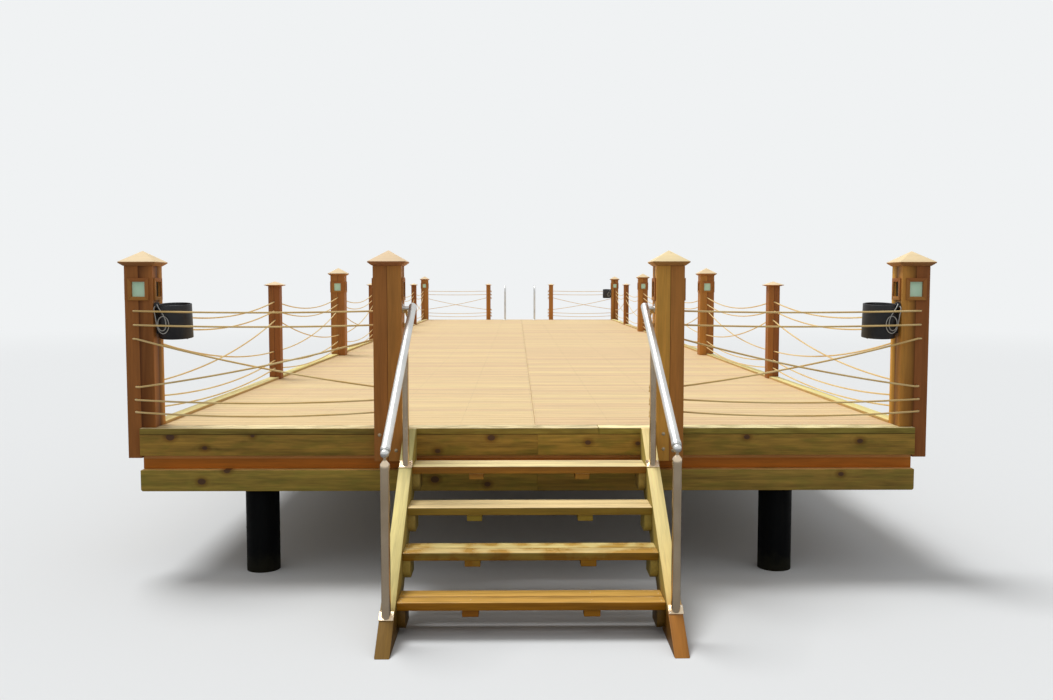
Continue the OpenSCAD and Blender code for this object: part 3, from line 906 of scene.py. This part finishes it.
def drum():
    """A closed drum with a sunk top inside a rounded rim, and two pins under it."""
    body = cylinder(64, DRUM_R, DRUM_H)
    pick_faces(body, looks_up)
    bpy.ops.mesh.inset(thickness=DRUM_WALL)
    draw_up(-DRUM_SINK)
    bpy.ops.mesh.inset(thickness=LID_MARGIN)
    draw_up(LID_T)
    close_edit()
    ease(body, 0.0028, 3)
    pins = [put(turned([(0.004, -0.010), (0.005, -0.009), (0.005, 0.003)], 16),
                at(x, 0, -DRUM_H / 2)) for x in PIN_X]
    return put(join([body] + pins), at(0, 0, DRUM_Z + DRUM_H / 2) @ tilt(DRUM_LEAN, "X"))


def make_speakers(material):
    drums = copies(drum(), [place for word, place in speaker_places()])
    finish_piece(drums, "speaker_drums", material, "speaker_black", "speakers")
    dress("speaker_brackets", material)


# Deck boards
GAP = 0.005
SEAM_GAP = 0.0018
BOARD_GAP_SHADE = 0.6
BOARD_EASE = 0.0025
BOARD_JOG = 0.0012
EDGE_BOARD = 0.150
BOARDS = 165
EDGE_JOINT_X = 0.456
EDGE_GAP = 0.002
TOUCH = 0.001
JOIST_W = 0.045
JOIST_PITCH = (2 * SIDE_X - JOIST_W) / 10
SEAM_SCREW = 0.013
SCREW_R = 0.004
SCREW_H = 0.002
SCREW_SINK = 0.0007
RECESS_H = 0.001
# Screws across a board, as shares of the pitch, and across the edge board
BOARD_SCREWS = (0.22, 0.72)
EDGE_SCREWS = (0.030, 0.120)


def deck_rows():
    """Front edge of the first full board, and the pitch of the boards."""
    first = FRONT_Y + EDGE_BOARD + GAP
    return first, (BACK_Y - first + GAP) / BOARDS


def make_deck_half(side, word, jogs, material):
    """One half of the deck: equal boards in a row, whose inner ends jog a little at the seam."""
    first, pitch = deck_rows()
    seam = SEAM_X + side * SEAM_GAP / 2
    low_x, high_x = (seam, SIDE_X) if side > 0 else (-SIDE_X, seam)
    board = sawn((low_x, first, DECK_Z - BOARD_T), (high_x, first + pitch - GAP, DECK_Z), BOARD_EASE)
    repeat(board, BOARDS, pitch)
    tones = [rng.random() for _ in range(BOARDS)]
    each = len(board.data.vertices) // BOARDS
    half = (pitch - GAP) / 2
    # Painted shade: each board's long eased edges darken towards the gaps between the boards.
    set_groove(board, lambda p: BOARD_GAP_SHADE * (abs((p.y - first) % pitch - half)
                                              > half - BOARD_EASE / 2))
    layer = board.data.attributes["tone"]
    for vertex in board.data.vertices:
        row = vertex.index // each
        layer.data[vertex.index].value = tones[row]
        if abs(vertex.co.x - seam) < 0.01:
            vertex.co.x += jogs[row]
    finish_piece(board, "deck_boards_" + word, material, "deck_wood", "deck_" + word)


def make_deck(material):
    jogs = [rng.uniform(-BOARD_JOG, BOARD_JOG) for _ in range(BOARDS)]
    for side, word in SIDES:
        make_deck_half(side, word, jogs, material)


def make_edge_boards(material):
    """The impregnated board along the front edge, in two lengths."""
    low_z = DECK_Z - BOARD_T
    high_y = FRONT_Y + EDGE_BOARD
    parts = []
    for low_x, high_x, tone in ((-SIDE_X, EDGE_JOINT_X - EDGE_GAP / 2, 0.31),
                                (EDGE_JOINT_X + EDGE_GAP / 2, SIDE_X, 0.83)):
        parts.append(sawn((low_x, FRONT_Y, low_z), (high_x, high_y, DECK_Z), 0.003, tone, 2))
        # Painted shade along the board's joints with the rim below and the deck boards behind.
        set_groove(parts[-1], lambda p: float(p.z < low_z + TOUCH or p.y > high_y - TOUCH))
    finish_piece(join(parts), "deck_edge_board", material, "pine")


def screw():
    """A countersunk screw head that looks up, with a recess."""
    head = cylinder(8, SCREW_R, SCREW_H, (0, 0, -SCREW_SINK))
    pick_faces(head, looks_up)
    bpy.ops.mesh.inset(thickness=SCREW_R * 0.45)
    bpy.ops.transform.translate(value=(0, 0, -RECESS_H))
    close_edit()
    return head


def make_deck_screws(material):
    """Two screws a board on each joist, all flush with the boards."""
    first, pitch = deck_rows()
    for side, word in SIDES:
        lines = [SEAM_X + side * SEAM_SCREW]
        lines += [SEAM_X + side * k * JOIST_PITCH for k in range(1, 5)]
        lines += [side * (SIDE_X - JOIST_W / 2)]
        pair = copies(screw(), [at(0, first + pitch * share, DECK_Z) for share in BOARD_SCREWS])
        repeat(pair, BOARDS, pitch)
        rows = copies(pair, [at(x, 0, 0) for x in lines])
        edge = copies(screw(), [at(x, FRONT_Y + y, DECK_Z) for x in lines for y in EDGE_SCREWS])
        finish_piece(join([rows, edge]), "deck_screws_" + word, material, "stainless")


# Posts: four laminations each, with holes for the ropes
HOLE_R = 0.0085
HOLE_GRAZE = 0.004
BAR_L = 0.4
BAR_TURN = 4
GROOVE = 0.0026
SEAT_SPARE = 0.0001
# Shades of the laminations, left front, left back, right front and right back, or drawn by chance; the
# left quarters of the front right corner post are lighter partly by their own tone and partly as
# painted sunlight on its left side
POST_TONES = {
    "corner_post_front_left": (0.30, 0.40, 0.32, 0.80),
    "corner_post_front_right": (0.90, 1.30, 0.16, 0.40),
    "corner_post_back_left": None,
    "corner_post_back_right": None,
    "stair_post_left": (0.40, 0.50, 0.62, 0.50),
    "stair_post_right": (1.10, 0.90, 0.55, 0.40),
    "side_posts_left": (0.46, 0.40, 0.36, 0.50),
    "side_posts_right": (0.66, 0.56, 0.36, 0.40),
    "small_posts_left": (0.20, 0.30, 0.12, 0.25),
    "small_posts_right": (0.36, 0.30, 0.16, 0.25),
    "end_posts": None,
}


def hole_cutter(place, along):
    """A round bar to bore with, turned a few degrees so that none of its edges lies on a joint."""
    bar = cylinder(24, HOLE_R, BAR_L)
    return put(bar, at(*place) @ tilt(90, "YX"[along]) @ tilt(BAR_TURN, "Z"))


def bore(timber, places, along):
    """Bores those rope holes right through a timber that do more than graze its edge."""
    low, high = box_of(timber)
    across = 1 - along
    reach = HOLE_R - HOLE_GRAZE
    passing = [place for place in places
               if low[across] - reach < place[across] < high[across] + reach]
    if passing:
        combine(timber, join([hole_cutter(place, along) for place in passing]), "DIFFERENCE")


def rope_holes(middle):
    """Where the ropes pass a post, and the axis that they pass along."""
    if abs(middle.x) < 1.5:
        y_gate, inward = (FRONT_Y, 1) if middle.y < 0 else (BACK_Y, -1)
        return [(middle.x, y_gate + inward * (LEAD_Y + CROSS_SHIFT[rope]), hole_z(rope, 1))
                for rope in range(len(HOLE_Z))], 0
    line = round((middle.y - post_y(0)) / BAY)
    side = 1 if middle.x > 0 else -1
    return [(side * (rope_x(line) + CROSS_SHIFT[rope]), middle.y, hole_z(rope, line))
            for rope in range(len(HOLE_Z))], 1


def quarters_of(post, low, middle):
    """Four laminations from one post: left front, left back, right front and right back."""
    quarters = []
    for side_x in (-1, 1):
        for side_y in (-1, 1):
            # A notch that lies on a joint would leave a sheet without thickness below its seat
            seat = min(v.co.z for v in post.data.vertices
                       if min(side_x * (v.co.x - middle.x), side_y * (v.co.y - middle.y)) > TOUCH)
            start = seat + SEAT_SPARE if seat > low.z + TOUCH else low.z - TOUCH
            quarters.append(copy_of(post, at(0, 0, 0)))
            wanted = block((middle.x + side_x, middle.y + side_y, start + 1), (2, 2, 2))
            combine(quarters[-1], wanted, "INTERSECT")
    discard(post)
    return quarters


def laminated(post, tones):
    """Cuts a post into four laminations, with painted shade in the grooves between them, and bores
    them.
    """
    low, high = box_of(post)
    middle = (low + high) / 2
    places, along = rope_holes(middle)
    quarters = quarters_of(post, low, middle)
    for quarter, tone in zip(quarters, tones):
        ease(quarter, GROOVE, 2)
        bore(quarter, places, along)
        set_tone(quarter, tone)
        # Painted shade in the grooves between the laminations, fading out across the easing.
        set_groove(quarter, lambda p: max(0.0, 1 - min(abs(p.x - middle.x), abs(p.y - middle.y))
                                          / GROOVE))
    return join(quarters)


def make_posts(material):
    for node, tones in POST_TONES.items():
        posts = sorted(timbers_of(node), key=low_corner)
        done = [laminated(post, tones or [0.3 + 0.4 * rng.random() for _ in range(4)])
                for post in posts]
        finish_piece(join(done), "laminated_" + node, material, "red_wood", node)


# Lantern heads
WIN_W = 0.086
WIN_H = 0.096
STRIP_W = 0.024
STRIP_T = 0.010
WIN_Z = DECK_Z + 0.900


def mitred_strip(length):
    """A strip with mitred ends on the face towards +X, its inner edge towards -Z."""
    strip = block((BIG_S / 2 + STRIP_T / 2, 0, STRIP_W / 2), (STRIP_T, length, STRIP_W))
    for vertex in strip.data.vertices:
        if vertex.co.z < STRIP_W / 2:
            vertex.co.y -= copysign(STRIP_W, vertex.co.y)
    ease(strip, 0.0015, 2)
    return strip


def window_frame():
    """Four mitred strips round a window, on the face towards +X of a post on the Z axis."""
    strips = []
    for side in range(4):
        length, half = (WIN_H, WIN_W / 2) if side % 2 else (WIN_W, WIN_H / 2)
        strips.append(put(mitred_strip(length + 2 * STRIP_W), tilt(90 * side, "X") @ at(0, 0, half)))
        set_tone(strips[-1], rng.random())
    return join(strips)


def lantern_places():
    """Each window's place: four to a corner or side post, two to a stair post."""
    for side in (-1, 1):
        heads = [(side * SIDE_X, post_y(0), 4), (side * SIDE_X, post_y(BAYS), 4),
                 (side * BIG_X, post_y(2), 4), (side * BIG_X, post_y(4), 4),
                 (side * GATE_X, FRONT_Y, 2)]
        for x, y, windows in heads:
            for k in range(windows):
                yield at(x, y, WIN_Z) @ tilt(360 * k / windows, "Z")


def make_lanterns(frame_wood, pane):
    frames = copies(window_frame(), lantern_places())
    finish_piece(frames, "lantern_window_frames", frame_wood, "cap_wood", "lantern_frames")
    dress("lantern_glass", pane)


# Bolts and nails: places on the front as (x, z), and heights on the other faces
BOLT_R = 0.0075
BOLT_H = 0.006
WASHER_R = 0.0115
WASHER_T = 0.0025
STAIR_BOLTS = [(-0.955, 0.945), (-0.850, 0.845), (0.862, 0.950), (0.862, 0.852), (0.925, 0.842)]
CORNER_BOLTS = (0.835, 0.915)
END_BOLTS = (0.825, 0.905)
CAP_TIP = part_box("big_post_caps")[1].z
CAP_RISE = 0.073
CAP_RUN = 0.120
CAP_SLOPE = atan2(CAP_RISE, CAP_RUN)
CAP_NAILS = [(-2.466, 0.050, post_y(0)), (-0.893, 0.034, FRONT_Y), (0.909, 0.034, FRONT_Y)]


def bolt():
    """A washer and a domed bolt head that look towards -Y, with the seat at y = 0."""
    parts = []
    for radius, depth, start in ((WASHER_R, WASHER_T, 0.0), (BOLT_R, BOLT_H, WASHER_T)):
        parts.append(cylinder(20, radius, depth, (0, -start - depth / 2, 0), (90, 0, 0)))
        ease(parts[-1], depth * 0.35, 2)
    return join(parts)


def make_bolts(material):
    """Bolts through the hanging halves of the posts."""
    places = [at(x, FRONT_Y - BIG_S / 2, z) for x, z in STAIR_BOLTS]
    for side in (-1, 1):
        places += [at(side * (SIDE_X + BIG_S / 2), post_y(i), z) @ tilt(90 * side, "Z")
                   for i in (0, BAYS) for z in CORNER_BOLTS]
        places += [at(side * END_GATE_X, BACK_Y + SMALL_S / 2, z) @ tilt(180, "Z")
                   for z in END_BOLTS]
    finish_piece(copies(bolt(), places), "bolts", material, "stainless")


def make_cap_nails(material):
    """One nail head on the front slope of three caps, some way down from the tip."""
    nails = []
    for x, down, middle_y in CAP_NAILS:
        place = at(x, middle_y - down * cos(CAP_SLOPE), CAP_TIP - down * sin(CAP_SLOPE))
        nail = turned([(0.0035, 0), (0.0030, 0.0012)], 12)
        nails.append(put(nail, place @ Matrix.Rotation(CAP_SLOPE, 4, "X")))
    finish_piece(join(nails), "cap_nails", material, "stainless")


# Stair
RISE = 0.195
GOING = 0.280
SLOPE = atan2(RISE, GOING)
# How far in front of the deck the stringers' top edges pass its level
STRINGER_LEAD = 0.045
TREADS = range(1, 5)
TREAD_B = 0.105
TREAD_T = 0.046
BATTEN_W = 0.090
BATTEN_X = 0.330
BATTEN_INSET = 0.012


def make_treads(material):
    for i in TREADS:
        node = "tread_%d" % i
        low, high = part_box(node)
        board_z = high.z - TREAD_T
        parts = [sawn((low.x, y, board_z), (high.x, y + TREAD_B, high.z), 0.005, None, 3)
                 for y in (low.y, high.y - TREAD_B)]
        parts += [sawn((x - BATTEN_W / 2, low.y + BATTEN_INSET, low.z),
                       (x + BATTEN_W / 2, high.y - BATTEN_INSET, board_z), 0.003)
                  for x in (-BATTEN_X, BATTEN_X)]
        finish_piece(join(parts), "stair_boards_%d" % i, material, "pine", node)


# Handrails
RAIL_R = 0.025
STAY_R = 0.021
COLLAR_R = 0.027
COLLAR_H = 0.025
BALL_R = 0.0235
NECK_R = 0.009
RAIL_TOP = 0.788
BALL_H = 0.870
RAIL_LOW_X = 0.770
RAIL_HIGH_X = 0.747
STAY_X = 0.764
STAY_Y = -0.305
LOW_POST_Y = {-1: -1.229, 1: -1.199}
PLATE_W = 0.080
PLATE_L = 0.060
PLATE_T = 0.006
BRACKET_Y = -0.016
BRACKET_R = 0.013
ROSE_R = 0.030
ROSE_T = 0.005
CUT_SPARE = 0.030
FLARE_GAP = 0.012
STAY_GAP = 0.006
STAY_EDGE = 0.002
# The turned end of the lower post: tube, ferrule, flare and neck, from the flare's top
FERRULE = [(RAIL_R, -0.042), (COLLAR_R, -0.0415), (COLLAR_R, -0.026), (0.0255, -0.021), (0.022, -0.014),
           (0.0165, -0.008), (0.012, -0.003), (NECK_R, 0.001), (NECK_R, 0.015)]


def slope_z(y):
    """Height of the stringers' top edges, y metres behind the deck's front edge."""
    return DECK_Z + (y + STRINGER_LEAD) * tan(SLOPE)


def on_slope(x, y):
    """A place on a stringer's top edge, turned to its slope."""
    return at(x, FRONT_Y + y, slope_z(y)) @ Matrix.Rotation(SLOPE, 4, "X")


def rail_ends(side):
    y = LOW_POST_Y[side]
    return (Vector((side * RAIL_LOW_X, FRONT_Y + y, slope_z(y) + BALL_H)),
            Vector((side * RAIL_HIGH_X, FRONT_Y, DECK_Z + RAIL_TOP)))


def on_rail(side, y):
    """The point of a rail's middle line y metres behind the deck's front edge."""
    low, high = rail_ends(side)
    return low + (high - low) * (FRONT_Y + y - low.y) / (high - low).y


def upright(x, y, profile):
    """A turned post whose foot is cut to the slope of its plate, and the plate."""
    foot = slope_z(y) + PLATE_T / cos(SLOPE)
    post = put(turned([(profile[0][0], foot - CUT_SPARE)] + profile), at(x, FRONT_Y + y, 0))
    cut(post, (x, FRONT_Y + y, foot), (0, sin(SLOPE), -cos(SLOPE)))
    plate = sawn((-PLATE_W / 2, -PLATE_L / 2, 0), (PLATE_W / 2, PLATE_L / 2, PLATE_T), 0.0015)
    return [post, put(plate, on_slope(x, y))]


def make_handrail(side, word, material):
    """A tube with a ball and a collar at its low end, and its bracket on the stair post."""
    low, high = rail_ends(side)
    run = high - low
    outline = arc(BALL_R, 0, -84, 46, 10)
    outline += [(RAIL_R - 0.0015, 0.0175), (RAIL_R, 0.019), (RAIL_R, BALL_R),
                (COLLAR_R, BALL_R + 0.001), (COLLAR_R, BALL_R + COLLAR_H),
                (RAIL_R, BALL_R + COLLAR_H + 0.001), (RAIL_R, run.length)]
    rail = turned(outline + arc(RAIL_R, run.length, 15, 85, 5))
    put(rail, Matrix.Translation(low) @ run.to_track_quat("Z", "Y").to_matrix().to_4x4())
    seat = on_rail(side, BRACKET_Y)
    reach = GATE_X - BIG_S / 2 - abs(seat.x)
    bracket = turned([(BRACKET_R, 0), (BRACKET_R, reach - ROSE_T), (ROSE_R - 0.001, reach - ROSE_T),
                      (ROSE_R, reach - ROSE_T + 0.001), (ROSE_R, reach)])
    put(bracket, Matrix.Translation(seat) @ tilt(90 * side, "Y"))
    finish_piece(join([rail, bracket]), "handrail_tube_" + word, material, "stainless",
                 "handrail_" + word)


def make_rail_posts(side, word, material):
    """The lower post with its ferrule, and the upper one with a neck under the rail."""
    low, high = rail_ends(side)
    run = high - low
    flare = low.z - BALL_R - FLARE_GAP
    lower = [(r, flare + z) for r, z in FERRULE]
    under = on_rail(side, STAY_Y)
    top = under.z - RAIL_R * run.length / hypot(run.x, run.y) - STAY_GAP
    upper = [(STAY_R, top - STAY_EDGE), (STAY_R - STAY_EDGE, top), (NECK_R, top),
             (NECK_R, under.z)]
    parts = upright(low.x, LOW_POST_Y[side], lower) + upright(side * STAY_X, STAY_Y, upper)
    finish_piece(join(parts), "rail_uprights_" + word, material, "stainless", "rail_posts_" + word)


# Swimming ladder at the far end
LADDER_X = 0.390
LADDER_IN = 0.260
LADDER_OUT = 0.070
LADDER_TOP = 0.900
LADDER_LOW = 0.060
LADDER_R = 0.021
RUNG_R = 0.017
RUNGS = 4
RUNG_START = 0.060
RUNG_PITCH = 0.230
HOOP_STEPS = 24
TIP_H = 0.002
FLANGE_R = 0.055
FLANGE_T = 0.008


def ladder_rail(x):
    """A handle bent from one tube: up from the deck, over in a half circle and down outside."""
    hoop_r = (LADDER_IN + LADDER_OUT) / 2
    hoop_z = DECK_Z + LADDER_TOP - hoop_r
    rail = put(turned([(LADDER_R, DECK_Z), (LADDER_R, hoop_z)], 24), at(x, BACK_Y - LADDER_IN, 0))
    pick_faces(rail, looks_up)
    bpy.ops.mesh.spin(steps=HOOP_STEPS, angle=pi, axis=(1, 0, 0),
                      center=(x, BACK_Y + LADDER_OUT - hoop_r, hoop_z))
    draw_up(LADDER_LOW + TIP_H - hoop_z)
    draw_up(-TIP_H)
    bpy.ops.transform.resize(value=(0.9, 0.9, 1),
                             center_override=(x, BACK_Y + LADDER_OUT, LADDER_LOW))
    close_outwards()
    return rail


def make_ladder(material):
    parts = []
    for x in (-LADDER_X, LADDER_X):
        flange = turned([(FLANGE_R, 0), (FLANGE_R, FLANGE_T - 0.002), (FLANGE_R - 0.002, FLANGE_T),
                         (0.028, FLANGE_T), (LADDER_R + 0.002, FLANGE_T + 0.006)])
        parts += [ladder_rail(x), put(flange, at(x, BACK_Y - LADDER_IN, DECK_Z))]
    finish_piece(join(parts), "ladder_handles", material, "stainless", "ladder_rails")
    reach = LADDER_X - LADDER_R
    half = [(RUNG_R + 0.002, 0), (RUNG_R + 0.002, 0.005), (RUNG_R, 0.007)]
    rung = turned(half + [(r, 2 * reach - z) for r, z in half[::-1]], 24)
    put(rung, at(-reach, BACK_Y + LADDER_OUT, LADDER_LOW + RUNG_START) @ tilt(90, "Y"))
    rungs = copies(rung, [at(0, 0, i * RUNG_PITCH) for i in range(RUNGS)])
    finish_piece(rungs, "ladder_steps", material, "stainless", "ladder_rungs")


# Small screws, by their distance from the edges or middles of what they hold
PLATE_SCREWS = [(x, y) for x in (-0.032, 0.032) for y in (-0.021, 0.021)]
ROSE_SCREWS_R = 0.022
FLANGE_SCREWS_R = 0.041
PROUD = 0.0002
TREAD_END = 0.022
TREAD_SCREWS = (0.03, 0.075)
BATTEN_SCREWS = (0.05,)


def across_tread(low, high, from_edges):
    return [low.y + y for y in from_edges] + [high.y - y for y in from_edges[::-1]]


def make_small_screws(material):
    """Screws of the rails' plates and roses, the treads and the ladder's feet."""
    places = []
    for side in (-1, 1):
        for x, y in ((side * RAIL_LOW_X, LOW_POST_Y[side]), (side * STAY_X, STAY_Y)):
            places += [on_slope(x, y) @ at(dx, dy, PLATE_T + PROUD) for dx, dy in PLATE_SCREWS]
        seat = on_rail(side, BRACKET_Y)
        face = at(side * (GATE_X - BIG_S / 2 - ROSE_T - PROUD), seat.y, seat.z)
        places += [face @ tilt(-90 * side, "Y") @ tilt(120 * k, "Z") @ at(ROSE_SCREWS_R, 0, 0)
                   for k in range(3)]
    for i in TREADS:
        low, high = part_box("tread_%d" % i)
        places += [at(x, y, high.z) for x in (low.x + TREAD_END, high.x - TREAD_END)
                   for y in across_tread(low, high, TREAD_SCREWS)]
        places += [at(x, y, high.z) for x in (-BATTEN_X, BATTEN_X)
                   for y in across_tread(low, high, BATTEN_SCREWS)]
    for x in (-LADDER_X, LADDER_X):
        for k in range(3):
            turn = 2 * pi * (k + 0.5) / 3
            places.append(at(x + FLANGE_SCREWS_R * cos(turn),
                             BACK_Y - LADDER_IN + FLANGE_SCREWS_R * sin(turn),
                             DECK_Z + FLANGE_T + PROUD))
    finish_piece(copies(screw(), places), "small_screws", material, "stainless")


# Colours of the treads by height, fronts and tops, from the wet lowest one to the dry highest; the
# paler tops are painted sunlight
TREAD_FRONTS = [(0.195, srgb(184, 138, 44)), (0.39, srgb(142, 124, 54)),
                (0.585, srgb(150, 126, 46)), (0.78, srgb(158, 106, 40))]
TREAD_TOPS = [(0.195, srgb(232, 204, 140)), (0.39, srgb(220, 194, 130)),
              (0.585, srgb(252, 228, 166)), (0.78, srgb(255, 238, 178))]
TREAD_WET = (0.30, 0.46, 0.7, (0.80, 0.60, 0.34, 1.0))
# Tops of the stringers by height, paler as painted sunlight and greyer at the left one's upper end as
# the painted shade of the stair post, and what damp does to their feet
STRINGER_TOPS = {
    "left": [(0.30, srgb(226, 208, 138)), (0.55, srgb(242, 224, 150)),
             (0.70, srgb(244, 226, 156)), (0.84, srgb(196, 186, 124))],
    "right": [(0.20, srgb(240, 206, 128)), (0.50, srgb(246, 224, 154)), (0.90, srgb(238, 216, 152))],
}
STRINGER_DAMP = {"left": (0.36, 0.24, 0.14, 1.0), "right": (0.48, 0.27, 0.14, 1.0)}
# Front of the head beams by height, with a painted highlight along the upper arris
BEAM_FRONT = [(0.766, srgb(197, 120, 42)), (0.774, srgb(228, 164, 96))]
# Impregnated pine of the rims and walers, and the knots that show on their fronts: x, z, radius
RIM_PINE = {"contrast": 2.5, "rings": 0.012, "vary": 0.14}
RIM_COLOUR = srgb(174, 141, 60)
RIM_STAIN = srgb(134, 124, 46)
RIM_KNOTS = [(-2.322, 0.918, 0.020), (-2.100, 0.848, 0.012), (-1.790, 0.926, 0.009),
             (-0.592, 0.826, 0.013), (-0.244, 0.912, 0.018), (0.385, 0.880, 0.014),
             (0.710, 0.874, 0.012), (1.420, 0.915, 0.014), (2.160, 0.888, 0.014)]
WALER_KNOTS = [(-2.125, 0.628, 0.019), (-1.960, 0.700, 0.016), (-0.611, 0.639, 0.020),
               (-0.269, 0.607, 0.015), (2.040, 0.670, 0.013)]
BOARD_JOINT_X = 0.059


def on_front(knots):
    return [((x, FRONT_Y, z), radius) for x, z, radius in knots]


def stringer_wood(word):
    return wood("stair_pine_" + word, srgb(170, 150, 80), 1, through=0, contrast=1.4, rings=0.015,
                knots=2.0, vary=0.1, top=STRINGER_TOPS[word], slope=-SLOPE,
                wet=(0.13, 0.25, 0.12, STRINGER_DAMP[word]))


def make_timbers():
    """The timbers that keep the shape of their nodes."""
    # The top colours of the caps, the walers and the kerbs are painted sunlight on their faces that
    # look up.
    cap = wood("cap_wood", srgb(184, 128, 78), 0, rough=0.55, vary=0.1, top=srgb(248, 222, 176))
    rim = wood("olive_pine", RIM_COLOUR, 0, through=1, knots=1.2, spots=on_front(RIM_KNOTS),
               stain=RIM_STAIN, **RIM_PINE)
    side_rim = wood("side_pine", RIM_COLOUR, 1, through=0, knots=1.5, stain=RIM_STAIN, **RIM_PINE)
    waler = wood("waler_pine", srgb(162, 132, 60), 0, through=1, knots=1.2,
                 spots=on_front(WALER_KNOTS), top=srgb(244, 196, 124), stain=srgb(138, 126, 52),
                 **RIM_PINE)
    beam = wood("beam_wood", BEAM_FRONT, 0, contrast=1.2, vary=0.1)
    joist = wood("joist_pine", srgb(152, 128, 68), 1, through=0, knots=1.5, rough=0.65, vary=0.16)
    kerb = wood("kerb_wood", srgb(206, 168, 108), 1, contrast=1.2, vary=0.1,
                top=srgb(228, 212, 146))
    left, right = [stringer_wood(word) for side, word in SIDES]
    under_deck = DECK_Z - BOARD_T - TOUCH
    for facts in (("big_post_caps", "big_caps", cap, "cap_wood", 0.0025),
                  ("small_post_caps", "small_caps", cap, "cap_wood", 0.0015),
                  ("rim_front", "front_rim", rim, "olive_pine", 0.003, BOARD_JOINT_X, under_deck),
                  ("rim_back", "back_rim", rim, "olive_pine", 0.003, BOARD_JOINT_X, under_deck),
                  ("walers", "cross_walers", waler, "olive_pine", 0.003, BOARD_JOINT_X),
                  ("head_beams", "cross_beams", beam, "red_wood"),
                  ("rim_left", "left_rim", side_rim, "olive_pine", 0.003, None, under_deck),
                  ("rim_right", "right_rim", side_rim, "olive_pine", 0.003, None, under_deck),
                  ("joists", "deck_joists", joist, "pine"),
                  ("kerb_left", "left_kerb", kerb, "kerb_wood"),
                  ("kerb_right", "right_kerb", kerb, "kerb_wood"),
                  ("stringer_left", "left_stringer", left, "pine", 0.005),
                  ("stringer_right", "right_stringer", right, "pine", 0.005),
                  ("tread_cleats", "cleats", left, "pine")):
        timber_piece(*facts)


def make_all():
    make_camera()
    make_stage()
    rope = rope_lay()
    make_ropes(rope)
    make_flexes(grey_flex())
    make_knots(rope)
    make_speakers(black_plastic())
    make_deck(wood("deck_wood", srgb(231, 201, 153), 0, contrast=0.8, rough=0.62, vary=0.12))
    # The edge board's paler top colour is painted sunlight.
    make_edge_boards(wood("edge_pine", srgb(156, 136, 62), 0, through=1, contrast=2.4, rings=0.012,
                          knots=1.6, vary=0.16, top=srgb(252, 236, 182), stain=srgb(132, 108, 44)))
    galvanised = zinc()
    make_deck_screws(galvanised)
    make_posts(wood("red_wood", srgb(186, 124, 62), 2, contrast=1.1, vary=0.8, warm=0.03))
    make_lanterns(wood("frame_wood", srgb(182, 122, 62), 2, contrast=0.4), frosted_pane())
    make_treads(wood("tread_pine", TREAD_FRONTS, 0, contrast=1.8, rings=0.015, knots=1.6,
                     rough=0.5, vary=0.12, top=TREAD_TOPS, wet=TREAD_WET))
    make_bolts(galvanised)
    make_cap_nails(galvanised)
    rail_steel = stainless_steel("rail_steel", srgb(206, 206, 204), srgb(226, 226, 222), 0.38)
    # Painted reflection: the upright posts' steel is tinted warm brown.
    post_steel_painted_reflection = stainless_steel("post_steel_painted_reflection", srgb(212, 190, 160), srgb(228, 208, 180), 0.20)
    for side, word in SIDES:
        make_handrail(side, word, rail_steel)
        make_rail_posts(side, word, post_steel_painted_reflection)
    make_ladder(rail_steel)
    make_small_screws(rail_steel)
    make_timbers()
    paint = pile_paint()
    for side, word in SIDES:
        dress("piles_" + word, paint)


make_all()
